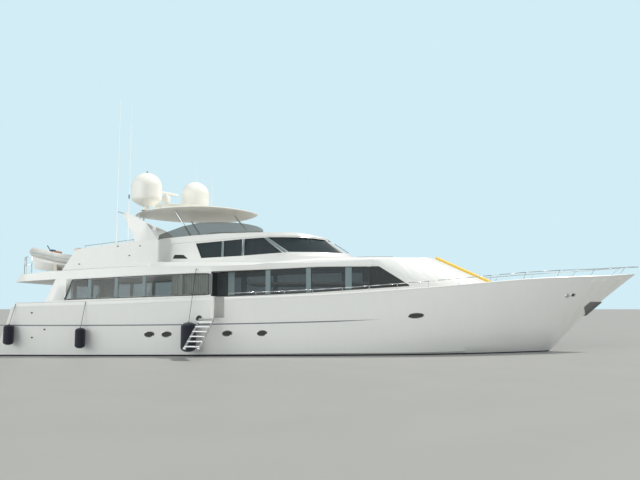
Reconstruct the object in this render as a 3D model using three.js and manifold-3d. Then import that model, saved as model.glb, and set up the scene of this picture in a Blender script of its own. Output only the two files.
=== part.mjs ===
// A raised-pilothouse motor yacht, 29.6 m long, afloat.
// Millimetres. +X runs to the bow, +Y to port, +Z up. The origin is on the centreline at the waterline,
// midway along the hull.

import * as THREE from 'three';
import { mergeVertices } from 'three/addons/utils/BufferGeometryUtils.js';
import Module from 'manifold-3d';

const wasm = await Module();
wasm.setup();

// Clearance kept between two pieces that meet.
const GAP = 0.3;

// Driving dimensions of the hull and its decks.
const TRANSOM_FOOT_X = -13860;
const TRANSOM_FOOT_Z = 50;
const TRANSOM_RAKE = 0.41;
const BOW_X = 14830;
const HULL_STEP = 713.25;
const BULWARK = 130;
// Height of the cap rail over the sheer: tall under the saloon's wall, low towards the bow.
const CAP_RISES = [
  { x: -4530, rise: 175 }, { x: -4030, rise: 120 }, { x: 0, rise: 75 }, { x: 4000, rise: 60 },
  { x: 8000, rise: 60 }, { x: 10650, rise: 32 }, { x: 14830, rise: 22 },
];
const CAP_PROUD = 25;
const COCKPIT_AFT_X = -12850;
const SOLE_Z = 1270;
const SIDE_DECK_START_X = -4580;
const HOUSE_WALL = 120;
const CABIN_FRONT_X = 2300;
const FOREDECK_END_X = 14150;

// The side gates, between the aft and the forward bulwarks.
const GATE_AFT_X = -4530;
const GATE_FORWARD_X = -4030;
const GATE_SILL_Z = 1610;

// The saloon's aft bulkhead and its sliding door.
const BULKHEAD_X = -10600;
const BULKHEAD_THICK = 100;
const DOOR_HALF_WIDTH = 475;
const DOOR_TOP_Z = 3060;

// Running gear under the hull.
const SHAFT_Y = 1300;
const PROPELLER_X = -11600;
const PROPELLER_Z = -1200;
const PROPELLER_RADIUS = 480;
const SHAFT_RADIUS = 45;
const SHAFT_ANGLE = THREE.MathUtils.degToRad(8);
const RUDDER_X = -12700;

// Hull sections, aft to forward. keel is the height of the lowest point, or of the stem where it has risen;
// chine, knuckle and sheer are given by half-breadth (Y) and height (Z).
const HULL_SECTIONS = [
  { x: TRANSOM_FOOT_X, keel: -900, chineY: 2720, chineZ: 50, knuckleY: 2880, knuckleZ: 1295,
    sheerY: 2950, sheerZ: 2050 },
  { x: -10000, keel: -1150, chineY: 2890, chineZ: 60, knuckleY: 3060, knuckleZ: 1295,
    sheerY: 3120, sheerZ: 2150 },
  { x: -5000, keel: -1250, chineY: 2950, chineZ: 80, knuckleY: 3130, knuckleZ: 1340,
    sheerY: 3200, sheerZ: 2325 },
  { x: 0, keel: -1280, chineY: 2880, chineZ: 120, knuckleY: 3140, knuckleZ: 1450,
    sheerY: 3250, sheerZ: 2540 },
  { x: 4000, keel: -1240, chineY: 2450, chineZ: 120, knuckleY: 2960, knuckleZ: 1610,
    sheerY: 3130, sheerZ: 2810 },
  { x: 7000, keel: -1080, chineY: 1720, chineZ: 160, knuckleY: 2440, knuckleZ: 1760,
    sheerY: 2760, sheerZ: 3060 },
  { x: 9000, keel: -780, chineY: 1000, chineZ: 240, knuckleY: 1880, knuckleZ: 1880,
    sheerY: 2350, sheerZ: 3240 },
  { x: 10650, keel: 0, chineY: 420, chineZ: 500, knuckleY: 1270, knuckleZ: 2010, sheerY: 1850, sheerZ: 3355 },
  { x: 12000, keel: 1330, chineY: 100, chineZ: 1480, knuckleY: 700, knuckleZ: 2230,
    sheerY: 1350, sheerZ: 3420 },
  { x: 13200, keel: 2310, chineY: 60, chineZ: 2390, knuckleY: 260, knuckleZ: 2640,
    sheerY: 850, sheerZ: 3470 },
  { x: 14150, keel: 3050, chineY: 35, chineZ: 3090, knuckleY: 90, knuckleZ: 3180, sheerY: 400, sheerZ: 3540 },
  { x: 14830, keel: 3550, chineY: 22, chineZ: 3562, knuckleY: 30, knuckleZ: 3576, sheerY: 45, sheerZ: 3595 },
];

// Side and fore deck, and the half-breadth of the house that stands on it.
const DECK_SECTIONS = [
  { x: -4580, deckZ: 1610, houseY: 2420 },
  { x: -3000, deckZ: 1610, houseY: 2420 },
  { x: 0, deckZ: 1800, houseY: 2420 },
  { x: 2400, deckZ: 2060, houseY: 2320 },
  { x: 4000, deckZ: 2260, houseY: 2150 },
  { x: 5200, deckZ: 2450, houseY: 1960 },
  { x: 7000, deckZ: 2700, houseY: 1560 },
  { x: 8870, deckZ: 2880, houseY: 1100 },
  { x: 11000, deckZ: 3060, houseY: 1000 },
  { x: 14830, deckZ: 3320, houseY: 1000 },
];

// The upper deck: half-breadth of its fascia, the fascia's lower and upper edge, the deck on top, and how
// far the slope between fascia and deck reaches in.
const UPPER_SECTIONS = [
  { x: -13180, edgeY: 2480, underZ: 3125, fasciaZ: 3150, topZ: 3160, slope: 70 },
  { x: -12880, edgeY: 2720, underZ: 3150, fasciaZ: 3440, topZ: 3460, slope: 70 },
  { x: -12500, edgeY: 2880, underZ: 3170, fasciaZ: 3465, topZ: 3490, slope: 70 },
  { x: -11000, edgeY: 3020, underZ: 3260, fasciaZ: 3600, topZ: 3630, slope: 70 },
  { x: -8500, edgeY: 3070, underZ: 3370, fasciaZ: 3750, topZ: 3780, slope: 70 },
  { x: -7220, edgeY: 3090, underZ: 3440, fasciaZ: 3780, topZ: 3800, slope: 70 },
  { x: -7200, edgeY: 3090, underZ: 3441, fasciaZ: 3780, topZ: 3980, slope: 70 },
  { x: -5500, edgeY: 3090, underZ: 3530, fasciaZ: 3800, topZ: 3980, slope: 70 },
  { x: -4000, edgeY: 3040, underZ: 3600, fasciaZ: 3820, topZ: 3980, slope: 70 },
  { x: -2900, edgeY: 2700, underZ: 3660, fasciaZ: 3880, topZ: 3980, slope: 50 },
  { x: -2300, edgeY: 2470, underZ: 3700, fasciaZ: 3975, topZ: 3980, slope: 6 },
  { x: 0, edgeY: 2460, underZ: 3820, fasciaZ: 3975, topZ: 3980, slope: 6 },
  { x: 2400, edgeY: 2325, underZ: 3860, fasciaZ: 3975, topZ: 3980, slope: 6 },
];

// The roof of the trunk cabin ahead of the pilothouse and of the brow that runs aft from it: its height
// at the side and at the crown.
const TRUNK_ROOF = [
  { x: -2300, sideZ: 4000, crownZ: 4020 },
  { x: 0, sideZ: 4095, crownZ: 4260 },
  { x: 2300, sideZ: 4140, crownZ: 4330 },
];
// The bowed nose of the trunk: an ellipse in plan whose front falls back as it rises.
const TRUNK_END_X = 8870;
const NOSE_START_X = 350;
const NOSE_HALF = 2480;
const NOSE_FRONT = [{ z: 2000, x: 10629 }, { z: 4400, x: 5205 }];

// Pilothouse plan at each height: half-width of its sides and the place of its bowed front.
const PILOTHOUSE_AFT_X = -6900;
const PILOTHOUSE_BOW_START_X = -2300;
const PILOTHOUSE_LEVELS = [
  { z: 3980, halfWidth: 2350, frontX: 2280 },
  { z: 4290, halfWidth: 2330, frontX: 2220 },
  { z: 4420, halfWidth: 2310, frontX: 1560 },
  { z: 5120, halfWidth: 2200, frontX: 520 },
  { z: 5420, halfWidth: 2140, frontX: 80 },
];
const PILOTHOUSE_FOOT_Z = PILOTHOUSE_LEVELS[0].z;
const PILOTHOUSE_WALL = 80;
// Height of the joint between the pilothouse and the flybridge moulding on it, and of the moulding's top.
const FLYBRIDGE_LINES = [
  { x: -7200, jointZ: 4760, topZ: 5020 },
  { x: -5700, jointZ: 4890, topZ: 5190 },
  { x: -4400, jointZ: 5015, topZ: 5290 },
  { x: -2600, jointZ: 5165, topZ: 5345 },
  { x: -1060, jointZ: 5215, topZ: 5360 },
  { x: 700, jointZ: 5170, topZ: 5200 },
];
const FLY_SOLE_Z = 4550;
const FLY_SKIN = 60;
const FLY_WELL_AFT_X = -6800;
const FLY_WELL_FRONT_X = -3300;
const FLY_WELL_HALF = 1950;

// Windows of the main deck. Each line is { x, z }, aft to forward.
const WINDOW_HEAD = [
  { x: -10490, z: 3215 }, { x: -7340, z: 3385 }, { x: -5500, z: 3470 }, { x: -4700, z: 3480 },
];
const WINDOW_FOOT = [
  { x: -10820, z: 2370 }, { x: -7200, z: 2500 }, { x: -5000, z: 2570 }, { x: -4700, z: 2580 },
];
const FORWARD_WINDOW_HEAD = [
  { x: -4480, z: 3555 }, { x: -2300, z: 3670 }, { x: 0, z: 3785 }, { x: 2180, z: 3815 },
];
const FORWARD_WINDOW_FOOT = [
  { x: -4480, z: 2520 }, { x: -1000, z: 2660 }, { x: 2180, z: 2870 },
];
const AFT_MULLIONS = [
  { x: -9750, width: 140 }, { x: -8620, width: 140 }, { x: -7440, width: 140 }, { x: -5870, width: 140 },
];
const FORWARD_MULLIONS = [
  { x: -3850, width: 280 }, { x: -2260, width: 210 }, { x: -500, width: 210 }, { x: 1240, width: 280 },
];
const GLASS = 30;

function paint(color, roughness = 0.35, metalness = 0) {
  return new THREE.MeshStandardMaterial({ color, roughness, metalness });
}
const WHITE = paint(0xf1efe9);
const OFF_WHITE = paint(0xe6e1d6, 0.45);
const DARK_GLASS = paint(0x2f3736, 0.08);
const SMOKED = paint(0x3c4144, 0.12);
const TEAK = paint(0x9a744c, 0.7);
const STAINLESS = paint(0xc9ccce, 0.2, 1);
const BRONZE = paint(0xa9824c, 0.35, 1);
const ANTIFOULING = paint(0x27303f, 0.7);
const NAVY = paint(0x171b24, 0.9);
const RUBBER_GREY = paint(0x8d9194, 0.6);
const ALUMINIUM = paint(0xb9bcbd, 0.4, 1);

// Solids and booleans

// A geometry as a solid that can be cut and joined.
function solid(geometry) {
  const bare = geometry.clone();
  bare.deleteAttribute('normal');
  bare.deleteAttribute('uv');
  const merged = mergeVertices(bare);
  const vertProperties = new Float32Array(merged.attributes.position.array);
  const triVerts = new Uint32Array(merged.index.array);
  return new wasm.Manifold(new wasm.Mesh({ numProp: 3, vertProperties, triVerts }));
}

function geometryOf(body) {
  const { vertProperties, triVerts } = body.getMesh();
  const geometry = new THREE.BufferGeometry();
  geometry.setAttribute('position', new THREE.BufferAttribute(new Float32Array(vertProperties), 3));
  geometry.setIndex(new THREE.BufferAttribute(new Uint32Array(triVerts), 1));
  geometry.computeVertexNormals();
  return geometry;
}

function join(first, ...others) {
  return others.reduce((sum, body) => sum.add(body), first);
}

function cut(first, ...others) {
  return others.reduce((rest, body) => rest.subtract(body), first);
}

// The same geometry on the other side of the centreline, with its faces still pointing out.
function mirrored(geometry) {
  const copy = geometry.clone().applyMatrix4(new THREE.Matrix4().makeScale(1, -1, 1));
  const index = copy.index.array;
  for (let i = 0; i < index.length; i += 3) {
    [index[i + 1], index[i + 2]] = [index[i + 2], index[i + 1]];
  }
  copy.computeVertexNormals();
  return copy;
}

// Value of a column of a section table at x, along straight lines between its rows.
function at(table, column, x) {
  const last = table.length - 1;
  if (x <= table[0].x) return table[0][column];
  if (x >= table[last].x) return table[last][column];
  const i = table.findIndex((row) => row.x >= x);
  const [a, b] = [table[i - 1], table[i]];
  return a[column] + ((b[column] - a[column]) * (x - a.x)) / (b.x - a.x);
}

// The same table with rows added between, on a smooth curve through the given ones.
function faired(table, step) {
  const slope = (i, column) => {
    const [a, b] = [table[Math.max(i - 1, 0)], table[Math.min(i + 1, table.length - 1)]];
    return (b[column] - a[column]) / (b.x - a.x);
  };
  const rows = [];
  for (let i = 0; i + 1 < table.length; i += 1) {
    const [a, b] = [table[i], table[i + 1]];
    const span = b.x - a.x;
    const parts = Math.max(1, Math.round(span / step));
    for (let k = 0; k < parts; k += 1) {
      const t = k / parts;
      const row = { x: a.x + span * t };
      for (const column of Object.keys(a).filter((key) => key !== 'x')) {
        row[column] = (2 * t ** 3 - 3 * t ** 2 + 1) * a[column] + (3 * t ** 2 - 2 * t ** 3) * b[column]
          + span * ((t ** 3 - 2 * t ** 2 + t) * slope(i, column) + (t ** 3 - t ** 2) * slope(i + 1, column));
      }
      rows.push(row);
    }
  }
  return [...rows, { ...table[table.length - 1] }];
}

const HULL = faired(HULL_SECTIONS, HULL_STEP);

// Every x from x0 to x1 at which one of the tables has a row.
function stationsBetween(x0, x1, ...tables) {
  const inside = tables.flat().map((row) => row.x).filter((x) => x > x0 + 1 && x < x1 - 1);
  return [...new Set([x0, ...inside, x1])].sort((a, b) => a - b);
}

// Triangles of a flat outline, all turned the way that the outline runs.
function capFaces(outline) {
  const turn = Math.sign(THREE.ShapeUtils.area(outline));
  return THREE.ShapeUtils.triangulateShape(outline, []).map(([a, b, c]) => {
    const same = Math.sign(THREE.ShapeUtils.area([outline[a], outline[b], outline[c]])) === turn;
    return same ? [a, b, c] : [a, c, b];
  });
}

// The same body shifted by (x, y, z).
function moved(body, x, y, z) {
  return solid(geometryOf(body).translate(x, y, z));
}

// A closed solid through a row of rings with the same number of points. flat gives a ring point's place
// in the plane of the end caps. The two halves of a ring are split along mirrored diagonals, so that a
// ring which is alike port and starboard gives a body that is too.
function loft(rings, flat = (p) => new THREE.Vector2(p.y, p.z)) {
  const count = rings[0].length;
  const index = [];
  for (let i = 0; i + 1 < rings.length; i += 1) {
    for (let j = 0; j < count; j += 1) {
      const [a, b] = [i * count + j, i * count + ((j + 1) % count)];
      const [c, d] = [a + count, b + count];
      index.push(...(j < count / 2 ? [a, b, d, a, d, c] : [a, b, c, b, d, c]));
    }
  }
  const end = (rings.length - 1) * count;
  for (const [a, b, c] of capFaces(rings[0].map(flat))) index.push(a, c, b);
  for (const [a, b, c] of capFaces(rings[rings.length - 1].map(flat))) index.push(end + a, end + b, end + c);
  const points = rings.flat();
  let volume = 0;
  for (let i = 0; i < index.length; i += 3) {
    const [a, b, c] = [points[index[i]], points[index[i + 1]], points[index[i + 2]]];
    volume += a.dot(b.clone().cross(c));
  }
  if (volume < 0) index.reverse();
  const geometry = new THREE.BufferGeometry();
  geometry.setAttribute('position', new THREE.Float32BufferAttribute(points.flatMap((p) => p.toArray()), 3));
  geometry.setIndex(index);
  return solid(geometry);
}

// A loft along X through sections given as lists of [y, z].
function loftAlong(xs, section) {
  return loft(xs.map((x) => section(x).map(([y, z]) => new THREE.Vector3(x, y, z))));
}

function box(x0, x1, y0, y1, z0, z1) {
  const geometry = new THREE.BoxGeometry(x1 - x0, y1 - y0, z1 - z0);
  geometry.translate((x0 + x1) / 2, (y0 + y1) / 2, (z0 + z1) / 2);
  return solid(geometry);
}

// A plate whose outline is a list of [x, z], between two values of y.
function sidePlate(outline, y0, y1) {
  const shape = new THREE.Shape(outline.map(([x, z]) => new THREE.Vector2(x, z)));
  const depth = y1 - y0;
  const geometry = new THREE.ExtrudeGeometry(shape, { depth, bevelEnabled: false, curveSegments: 12 });
  geometry.rotateX(Math.PI / 2);
  geometry.translate(0, y1, 0);
  return solid(geometry);
}

// A slab whose outline is a list of [x, y], between two heights.
function slab(outline, z0, z1) {
  const shape = new THREE.Shape(outline.map(([x, y]) => new THREE.Vector2(x, y)));
  const geometry = new THREE.ExtrudeGeometry(shape, { depth: z1 - z0, bevelEnabled: false });
  geometry.translate(0, 0, z0);
  return solid(geometry);
}

// A round bar between two points, tapering where the second radius differs.
function bar(from, to, radius, endRadius = radius, sides = 8) {
  const [a, b] = [new THREE.Vector3(...from), new THREE.Vector3(...to)];
  const axis = b.clone().sub(a);
  const geometry = new THREE.CylinderGeometry(endRadius, radius, axis.length(), sides);
  geometry.applyQuaternion(new THREE.Quaternion().setFromUnitVectors(new THREE.Vector3(0, 1, 0),
    axis.clone().normalize()));
  const middle = a.add(b).multiplyScalar(0.5);
  geometry.translate(middle.x, middle.y, middle.z);
  return solid(geometry);
}

// A bent pipe through a list of points.
function pipe(points, radius, steps, sides = 8) {
  const ring = new THREE.Shape();
  ring.absarc(0, 0, radius, 0, 2 * Math.PI);
  const path = new THREE.CatmullRomCurve3(points.map((p) => new THREE.Vector3(...p)), false, 'centripetal');
  return solid(new THREE.ExtrudeGeometry(ring, { steps, extrudePath: path, curveSegments: sides / 2 }));
}

// A turned piece standing on an upright axis at (x, y); profile is a list of [radius, z].
function turned(profile, x, y, sides = 20) {
  const geometry = new THREE.LatheGeometry(profile.map(([r, z]) => new THREE.Vector2(r, z)), sides);
  geometry.rotateX(Math.PI / 2);
  geometry.translate(x, y, 0);
  return solid(geometry);
}

const yacht = new THREE.Group();

function add(name, material, body) {
  const mesh = new THREE.Mesh(geometryOf(body), material);
  mesh.name = name;
  yacht.add(mesh);
}

// Makes the port piece from body and its mirror image for the starboard side.
function addPair(name, material, body) {
  const geometry = geometryOf(body);
  for (const [side, shape] of [['port', geometry], ['starboard', mirrored(geometry)]]) {
    const mesh = new THREE.Mesh(shape, material);
    mesh.name = `${name}_${side}`;
    yacht.add(mesh);
  }
}

// Hull

function hullSection(x) {
  const row = (column) => at(HULL, column, x);
  const half = [
    [row('chineY'), row('chineZ')], [row('knuckleY'), row('knuckleZ')], [row('sheerY'), row('sheerZ')],
  ];
  return [[0, row('keel')], ...half, ...half.map(([y, z]) => [-y, z]).reverse()];
}

const rakeShift = (z) => Math.max(0, z - TRANSOM_FOOT_Z) * TRANSOM_RAKE;

function hullShell() {
  const xs = HULL.map((row) => row.x);
  const rings = xs.map((x, i) => hullSection(x).map(([y, z]) => (
    new THREE.Vector3(i === 0 ? x + rakeShift(z) : x, y, z))));
  return loft(rings);
}

const inside = (x) => at(HULL, 'sheerY', x) - BULWARK;
const capTop = (x) => at(HULL, 'sheerZ', x) + at(CAP_RISES, 'rise', x);
const ABOVE_ALL = 5000;
const FAR_OUT = 4000;

// The cockpit and, ahead of it, the full-width saloon.
function cockpitWell() {
  const xs = stationsBetween(COCKPIT_AFT_X, SIDE_DECK_START_X, HULL);
  return loftAlong(xs, (x) => [
    [inside(x), SOLE_Z], [inside(x), ABOVE_ALL], [-inside(x), ABOVE_ALL], [-inside(x), SOLE_Z],
  ]);
}

// The recessed side decks and foredeck.
function deckWell() {
  const xs = stationsBetween(SIDE_DECK_START_X, FOREDECK_END_X, HULL, DECK_SECTIONS);
  return loftAlong(xs, (x) => {
    const [y, z] = [inside(x), at(DECK_SECTIONS, 'deckZ', x)];
    return [[y, z], [y, ABOVE_ALL], [-y, ABOVE_ALL], [-y, z]];
  });
}

function cabinWell() {
  const y = at(DECK_SECTIONS, 'houseY', 0) - HOUSE_WALL;
  return box(SIDE_DECK_START_X - HOUSE_WALL, CABIN_FRONT_X - HOUSE_WALL, -y, y, SOLE_Z, ABOVE_ALL);
}

// Everything above the cockpit and saloon sole, and above the decks ahead of it, raised by lift. The
// bulwarks are the part of the hull's shell in here.
const PAST_HULL = 1500;
function aboveSole(lift) {
  return box(TRANSOM_FOOT_X - PAST_HULL, SIDE_DECK_START_X, -FAR_OUT, FAR_OUT, SOLE_Z + lift, ABOVE_ALL);
}
function aboveDecks(lift) {
  const xs = stationsBetween(SIDE_DECK_START_X, BOW_X + PAST_HULL, DECK_SECTIONS);
  return loftAlong(xs, (x) => {
    const z = at(DECK_SECTIONS, 'deckZ', x) + lift;
    return [[FAR_OUT, z], [FAR_OUT, ABOVE_ALL], [-FAR_OUT, ABOVE_ALL], [-FAR_OUT, z]];
  });
}

const shaftDirection = new THREE.Vector3(Math.cos(SHAFT_ANGLE), 0, Math.sin(SHAFT_ANGLE));
function shaftPoint(distance) {
  const p = shaftDirection.clone().multiplyScalar(distance);
  return [PROPELLER_X + p.x, SHAFT_Y, PROPELLER_Z + p.z];
}
const SHAFT_LENGTH = 5200;

const RUDDER_STOCK_RADIUS = 45;
const RUDDER_HEAD_Z = -520;

// The flat-bottomed boss under the hull that each rudder stock turns in.
function rudderBoss(y) {
  return bar([RUDDER_X, y, RUDDER_HEAD_Z - 120], [RUDDER_X, y, 0], 90, 90, 12);
}

// The fixed half of each gate hinge, as heights of its lower end.
const GATE_HINGE_X = GATE_AFT_X - 10;
const GATE_HINGE_Y = at(HULL, 'sheerY', GATE_AFT_X) + 40;
const GATE_HINGE_HEIGHTS = [1690, 2150];
const HINGE_BARREL = 60;
const HINGE_RADIUS = 14;

function gateHingeLug(z) {
  return join(
    bar([GATE_HINGE_X, GATE_HINGE_Y, z], [GATE_HINGE_X, GATE_HINGE_Y, z + HINGE_BARREL], HINGE_RADIUS),
    box(GATE_HINGE_X - 60, GATE_HINGE_X, GATE_HINGE_Y - 150, GATE_HINGE_Y + 8, z, z + HINGE_BARREL),
  );
}

// The fixed eyes outside the starboard sill that the boarding steps hang from.
const STEPS_X = -4720;
const STEPS_HALF_WIDTH = 300;
const STEPS_HINGE_Y = -3290;
const STEPS_HINGE_Z = 1560;
const STEPS_PIN = 20;

function stepsEye(x) {
  return join(
    box(x - 20, x + 20, STEPS_HINGE_Y, -3050, STEPS_HINGE_Z - STEPS_PIN, STEPS_HINGE_Z + STEPS_PIN),
    bar([x - 20, STEPS_HINGE_Y, STEPS_HINGE_Z], [x + 20, STEPS_HINGE_Y, STEPS_HINGE_Z], STEPS_PIN),
  );
}

const shell = hullShell();
const [aftEye, forwardEye] = [-1, 1].map((side) => stepsEye(STEPS_X + side * (STEPS_HALF_WIDTH + 45)));

// The hull up to its decks.
function hull() {
  const bosses = [SHAFT_Y, -SHAFT_Y].map(rudderBoss);
  const bore = bar(shaftPoint(2600), shaftPoint(SHAFT_LENGTH + GAP), SHAFT_RADIUS + 2 * GAP);
  const bores = [bore, solid(mirrored(geometryOf(bore)))];
  return join(cut(shell, aboveSole(0), aboveDecks(0), cabinWell(), ...bores), ...bosses, forwardEye);
}
const hullBody = hull();
add('hull', WHITE, hullBody);

// The sides that stand above the decks: round the cockpit and saloon aft of the gates, and from the
// gates to the stem head.
function bulwarkAft() {
  const lugs = GATE_HINGE_HEIGHTS.flatMap((z) => {
    const lug = gateHingeLug(z);
    return [lug, solid(mirrored(geometryOf(lug)))];
  });
  const atGate = box(SIDE_DECK_START_X - 5, GATE_AFT_X, -FAR_OUT, FAR_OUT, 0, ABOVE_ALL);
  const raised = join(aboveSole(GAP).intersect(shell), shell.intersect(aboveDecks(GAP)).intersect(atGate));
  return join(cut(raised, cockpitWell(), deckWell(), cabinWell()), ...lugs, aftEye);
}
add('bulwark_aft', WHITE, bulwarkAft());
// Each forward bulwark ends just short of the centreline, in the solid stem head.
const BULWARK_SPLIT = GAP / 2;
addPair('bulwark_forward', WHITE, cut(shell.intersect(aboveDecks(GAP)), deckWell(),
  box(TRANSOM_FOOT_X, GATE_FORWARD_X, -FAR_OUT, FAR_OUT, 0, ABOVE_ALL),
  box(TRANSOM_FOOT_X, BOW_X + PAST_HULL, -FAR_OUT, BULWARK_SPLIT, 0, ABOVE_ALL)));

// Swim platform at the foot of the transom.
const PLATFORM_AFT_X = -14800;
const PLATFORM_HALF = 2700;
const PLATFORM_TOP_Z = 450;
const PLATFORM_THICK = 130;
const platform = slab([
  [TRANSOM_FOOT_X + 400, -PLATFORM_HALF], [TRANSOM_FOOT_X + 400, PLATFORM_HALF],
  [PLATFORM_AFT_X + 250, PLATFORM_HALF], [PLATFORM_AFT_X, PLATFORM_HALF - 350],
  [PLATFORM_AFT_X, -PLATFORM_HALF + 350], [PLATFORM_AFT_X + 250, -PLATFORM_HALF],
], PLATFORM_TOP_Z - PLATFORM_THICK, PLATFORM_TOP_Z);
add('swim_platform', TEAK, cut(platform, moved(hullBody, -GAP, 0, 0)));

// The cap that runs along the top of the bulwark.
function capRail(x0, x1) {
  const xs = stationsBetween(x0, x1, HULL);
  const side = loftAlong(xs, (x) => {
    const [outer, inner] = [at(HULL, 'sheerY', x) + CAP_PROUD, inside(x)];
    const [low, high] = [at(HULL, 'sheerZ', x) + GAP, capTop(x)];
    const bevel = Math.min(40, 0.4 * (high - low));
    return [[inner, low], [outer, low], [outer, high - bevel], [outer - bevel, high], [inner, high]];
  });
  return [side, solid(mirrored(geometryOf(side)))];
}
const CAP_AFT_X = -12950;
const capAft = join(...capRail(CAP_AFT_X, GATE_AFT_X), box(CAP_AFT_X, COCKPIT_AFT_X,
  -inside(COCKPIT_AFT_X) - 20, inside(COCKPIT_AFT_X) + 20, at(HULL, 'sheerZ', CAP_AFT_X) + 15,
  capTop(CAP_AFT_X) - 5));
add('cap_rail_aft', WHITE, capAft);
const CAP_BOW_X = BOW_X - 30;
const capForward = join(...capRail(GATE_FORWARD_X, CAP_BOW_X),
  loftAlong(stationsBetween(FOREDECK_END_X, CAP_BOW_X, HULL), (x) => {
    const [low, high] = [at(HULL, 'sheerZ', x) + 5, capTop(x) - 5];
    return [[60, low], [60, high], [-60, high], [-60, low]];
  }));
add('cap_rail_forward', WHITE, capForward);

// Main-deck house

const WALL_AFT_FOOT_X = -11650;
const WALL_AFT_HEAD_X = -11230;
const FULL_BEAM_INSET = 5;
const wallOuter = (x) => at(HULL, 'sheerY', x) - FULL_BEAM_INSET;
const wallInner = (x) => at(HULL, 'sheerY', x) - BULWARK - 10;
const underDeck = (x) => at(UPPER_SECTIONS, 'underZ', x) - GAP;

// A band between two lines of { x, z }, as a closed outline.
function bandOutline(head, foot) {
  return [...foot.map((p) => [p.x, p.z]), ...[...head].reverse().map((p) => [p.x, p.z])];
}

// The panes that the mullions leave of a band, as outlines that stand edge inside the band.
function paneOutlines(head, foot, mullions, edge) {
  const row = (line, x) => at(line, 'z', x);
  const lean = head[0].x - foot[0].x;
  const bounds = [foot[0].x + edge, ...mullions.flatMap((m) => [m.x - m.width / 2, m.x + m.width / 2]),
    foot[foot.length - 1].x - edge];
  const panes = [];
  for (let i = 0; i < bounds.length; i += 2) {
    const [a, b] = [bounds[i], bounds[i + 1]];
    const top = i === 0 ? a + lean : a;
    panes.push([[a, row(foot, a) + edge], [b, row(foot, b) + edge], [b, row(head, b) - edge],
      [top, row(head, top) - edge]]);
  }
  return panes;
}

const EDGE = 35;

// The full-beam wall of the saloon with its aft fashion plate, above the cap.
function saloonWall() {
  const xs = stationsBetween(WALL_AFT_FOOT_X, SIDE_DECK_START_X, HULL, UPPER_SECTIONS);
  const wall = loftAlong(xs, (x) => [
    [wallInner(x), capTop(x) + GAP], [wallOuter(x), capTop(x) + GAP],
    [wallOuter(x), underDeck(x)], [wallInner(x), underDeck(x)],
  ]);
  const slant = sidePlate([[WALL_AFT_FOOT_X - 100, 2000], [WALL_AFT_FOOT_X, 2320], [WALL_AFT_HEAD_X, 3240],
    [WALL_AFT_HEAD_X, 3600], [WALL_AFT_FOOT_X - 100, 3600]], 2000, FAR_OUT);
  return cut(wall, slant);
}

// The wall across the boat that steps the house in to the side deck.
function stepWall() {
  const xs = [SIDE_DECK_START_X - HOUSE_WALL, SIDE_DECK_START_X - GAP];
  const inner = at(DECK_SECTIONS, 'houseY', 0) - HOUSE_WALL;
  return loftAlong(xs, (x) => [
    [inner, SOLE_Z + GAP], [inside(x) - GAP, SOLE_Z + GAP], [inside(x) - GAP, underDeck(x)],
    [inner, underDeck(x)],
  ]);
}

// The inset wall beside the side deck.
function cabinWall() {
  const xs = stationsBetween(SIDE_DECK_START_X - HOUSE_WALL, CABIN_FRONT_X, DECK_SECTIONS, UPPER_SECTIONS);
  const inner = (x) => at(DECK_SECTIONS, 'houseY', x) - HOUSE_WALL;
  return loftAlong(xs, (x) => {
    const foot = at(DECK_SECTIONS, 'deckZ', x) + GAP;
    const outer = at(DECK_SECTIONS, 'houseY', x);
    return [[inner(x), foot], [outer, foot], [outer, underDeck(x)], [inner(x), underDeck(x)]];
  });
}

// Cuts a window band out of a wall whose outer face is outer(x): a rebate for the glass, and the panes
// right through it. Returns the wall and the glass that fills the rebate.
function glaze(wall, head, foot, mullions, outer, xs) {
  const skin = (depth, reach) => loftAlong(xs, (x) => [
    [outer(x) - depth, 0], [outer(x) + reach, 0], [outer(x) + reach, ABOVE_ALL],
    [outer(x) - depth, ABOVE_ALL],
  ]);
  const band = sidePlate(bandOutline(head, foot), 1500, FAR_OUT);
  const shrink = (line, dx, dz) => line.map((p, i) => ({
    x: p.x + (i === 0 ? dx : 0) - (i === line.length - 1 ? dx : 0), z: p.z + dz,
  }));
  const smaller = sidePlate(bandOutline(shrink(head, GAP, -GAP), shrink(foot, GAP, GAP)), 1500, FAR_OUT);
  const panes = paneOutlines(head, foot, mullions, EDGE).map((outline) => sidePlate(outline, 1500, FAR_OUT));
  return {
    wall: cut(wall, skin(GLASS + GAP, 500).intersect(band), ...panes),
    glass: skin(GLASS, 0).intersect(smaller),
  };
}

const aftStations = stationsBetween(-11000, SIDE_DECK_START_X, HULL, UPPER_SECTIONS);
const saloon = glaze(saloonWall(), WINDOW_HEAD, WINDOW_FOOT, AFT_MULLIONS, wallOuter, aftStations);
const forwardStations = stationsBetween(SIDE_DECK_START_X, CABIN_FRONT_X, DECK_SECTIONS);
const houseOuter = (x) => at(DECK_SECTIONS, 'houseY', x);
const cabin = glaze(cabinWall(), FORWARD_WINDOW_HEAD, FORWARD_WINDOW_FOOT, FORWARD_MULLIONS, houseOuter,
  forwardStations);
addPair('house_side', WHITE, join(saloon.wall, stepWall(), cabin.wall));
addPair('saloon_glass', DARK_GLASS, saloon.glass);
addPair('cabin_glass', DARK_GLASS, cabin.glass);

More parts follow.
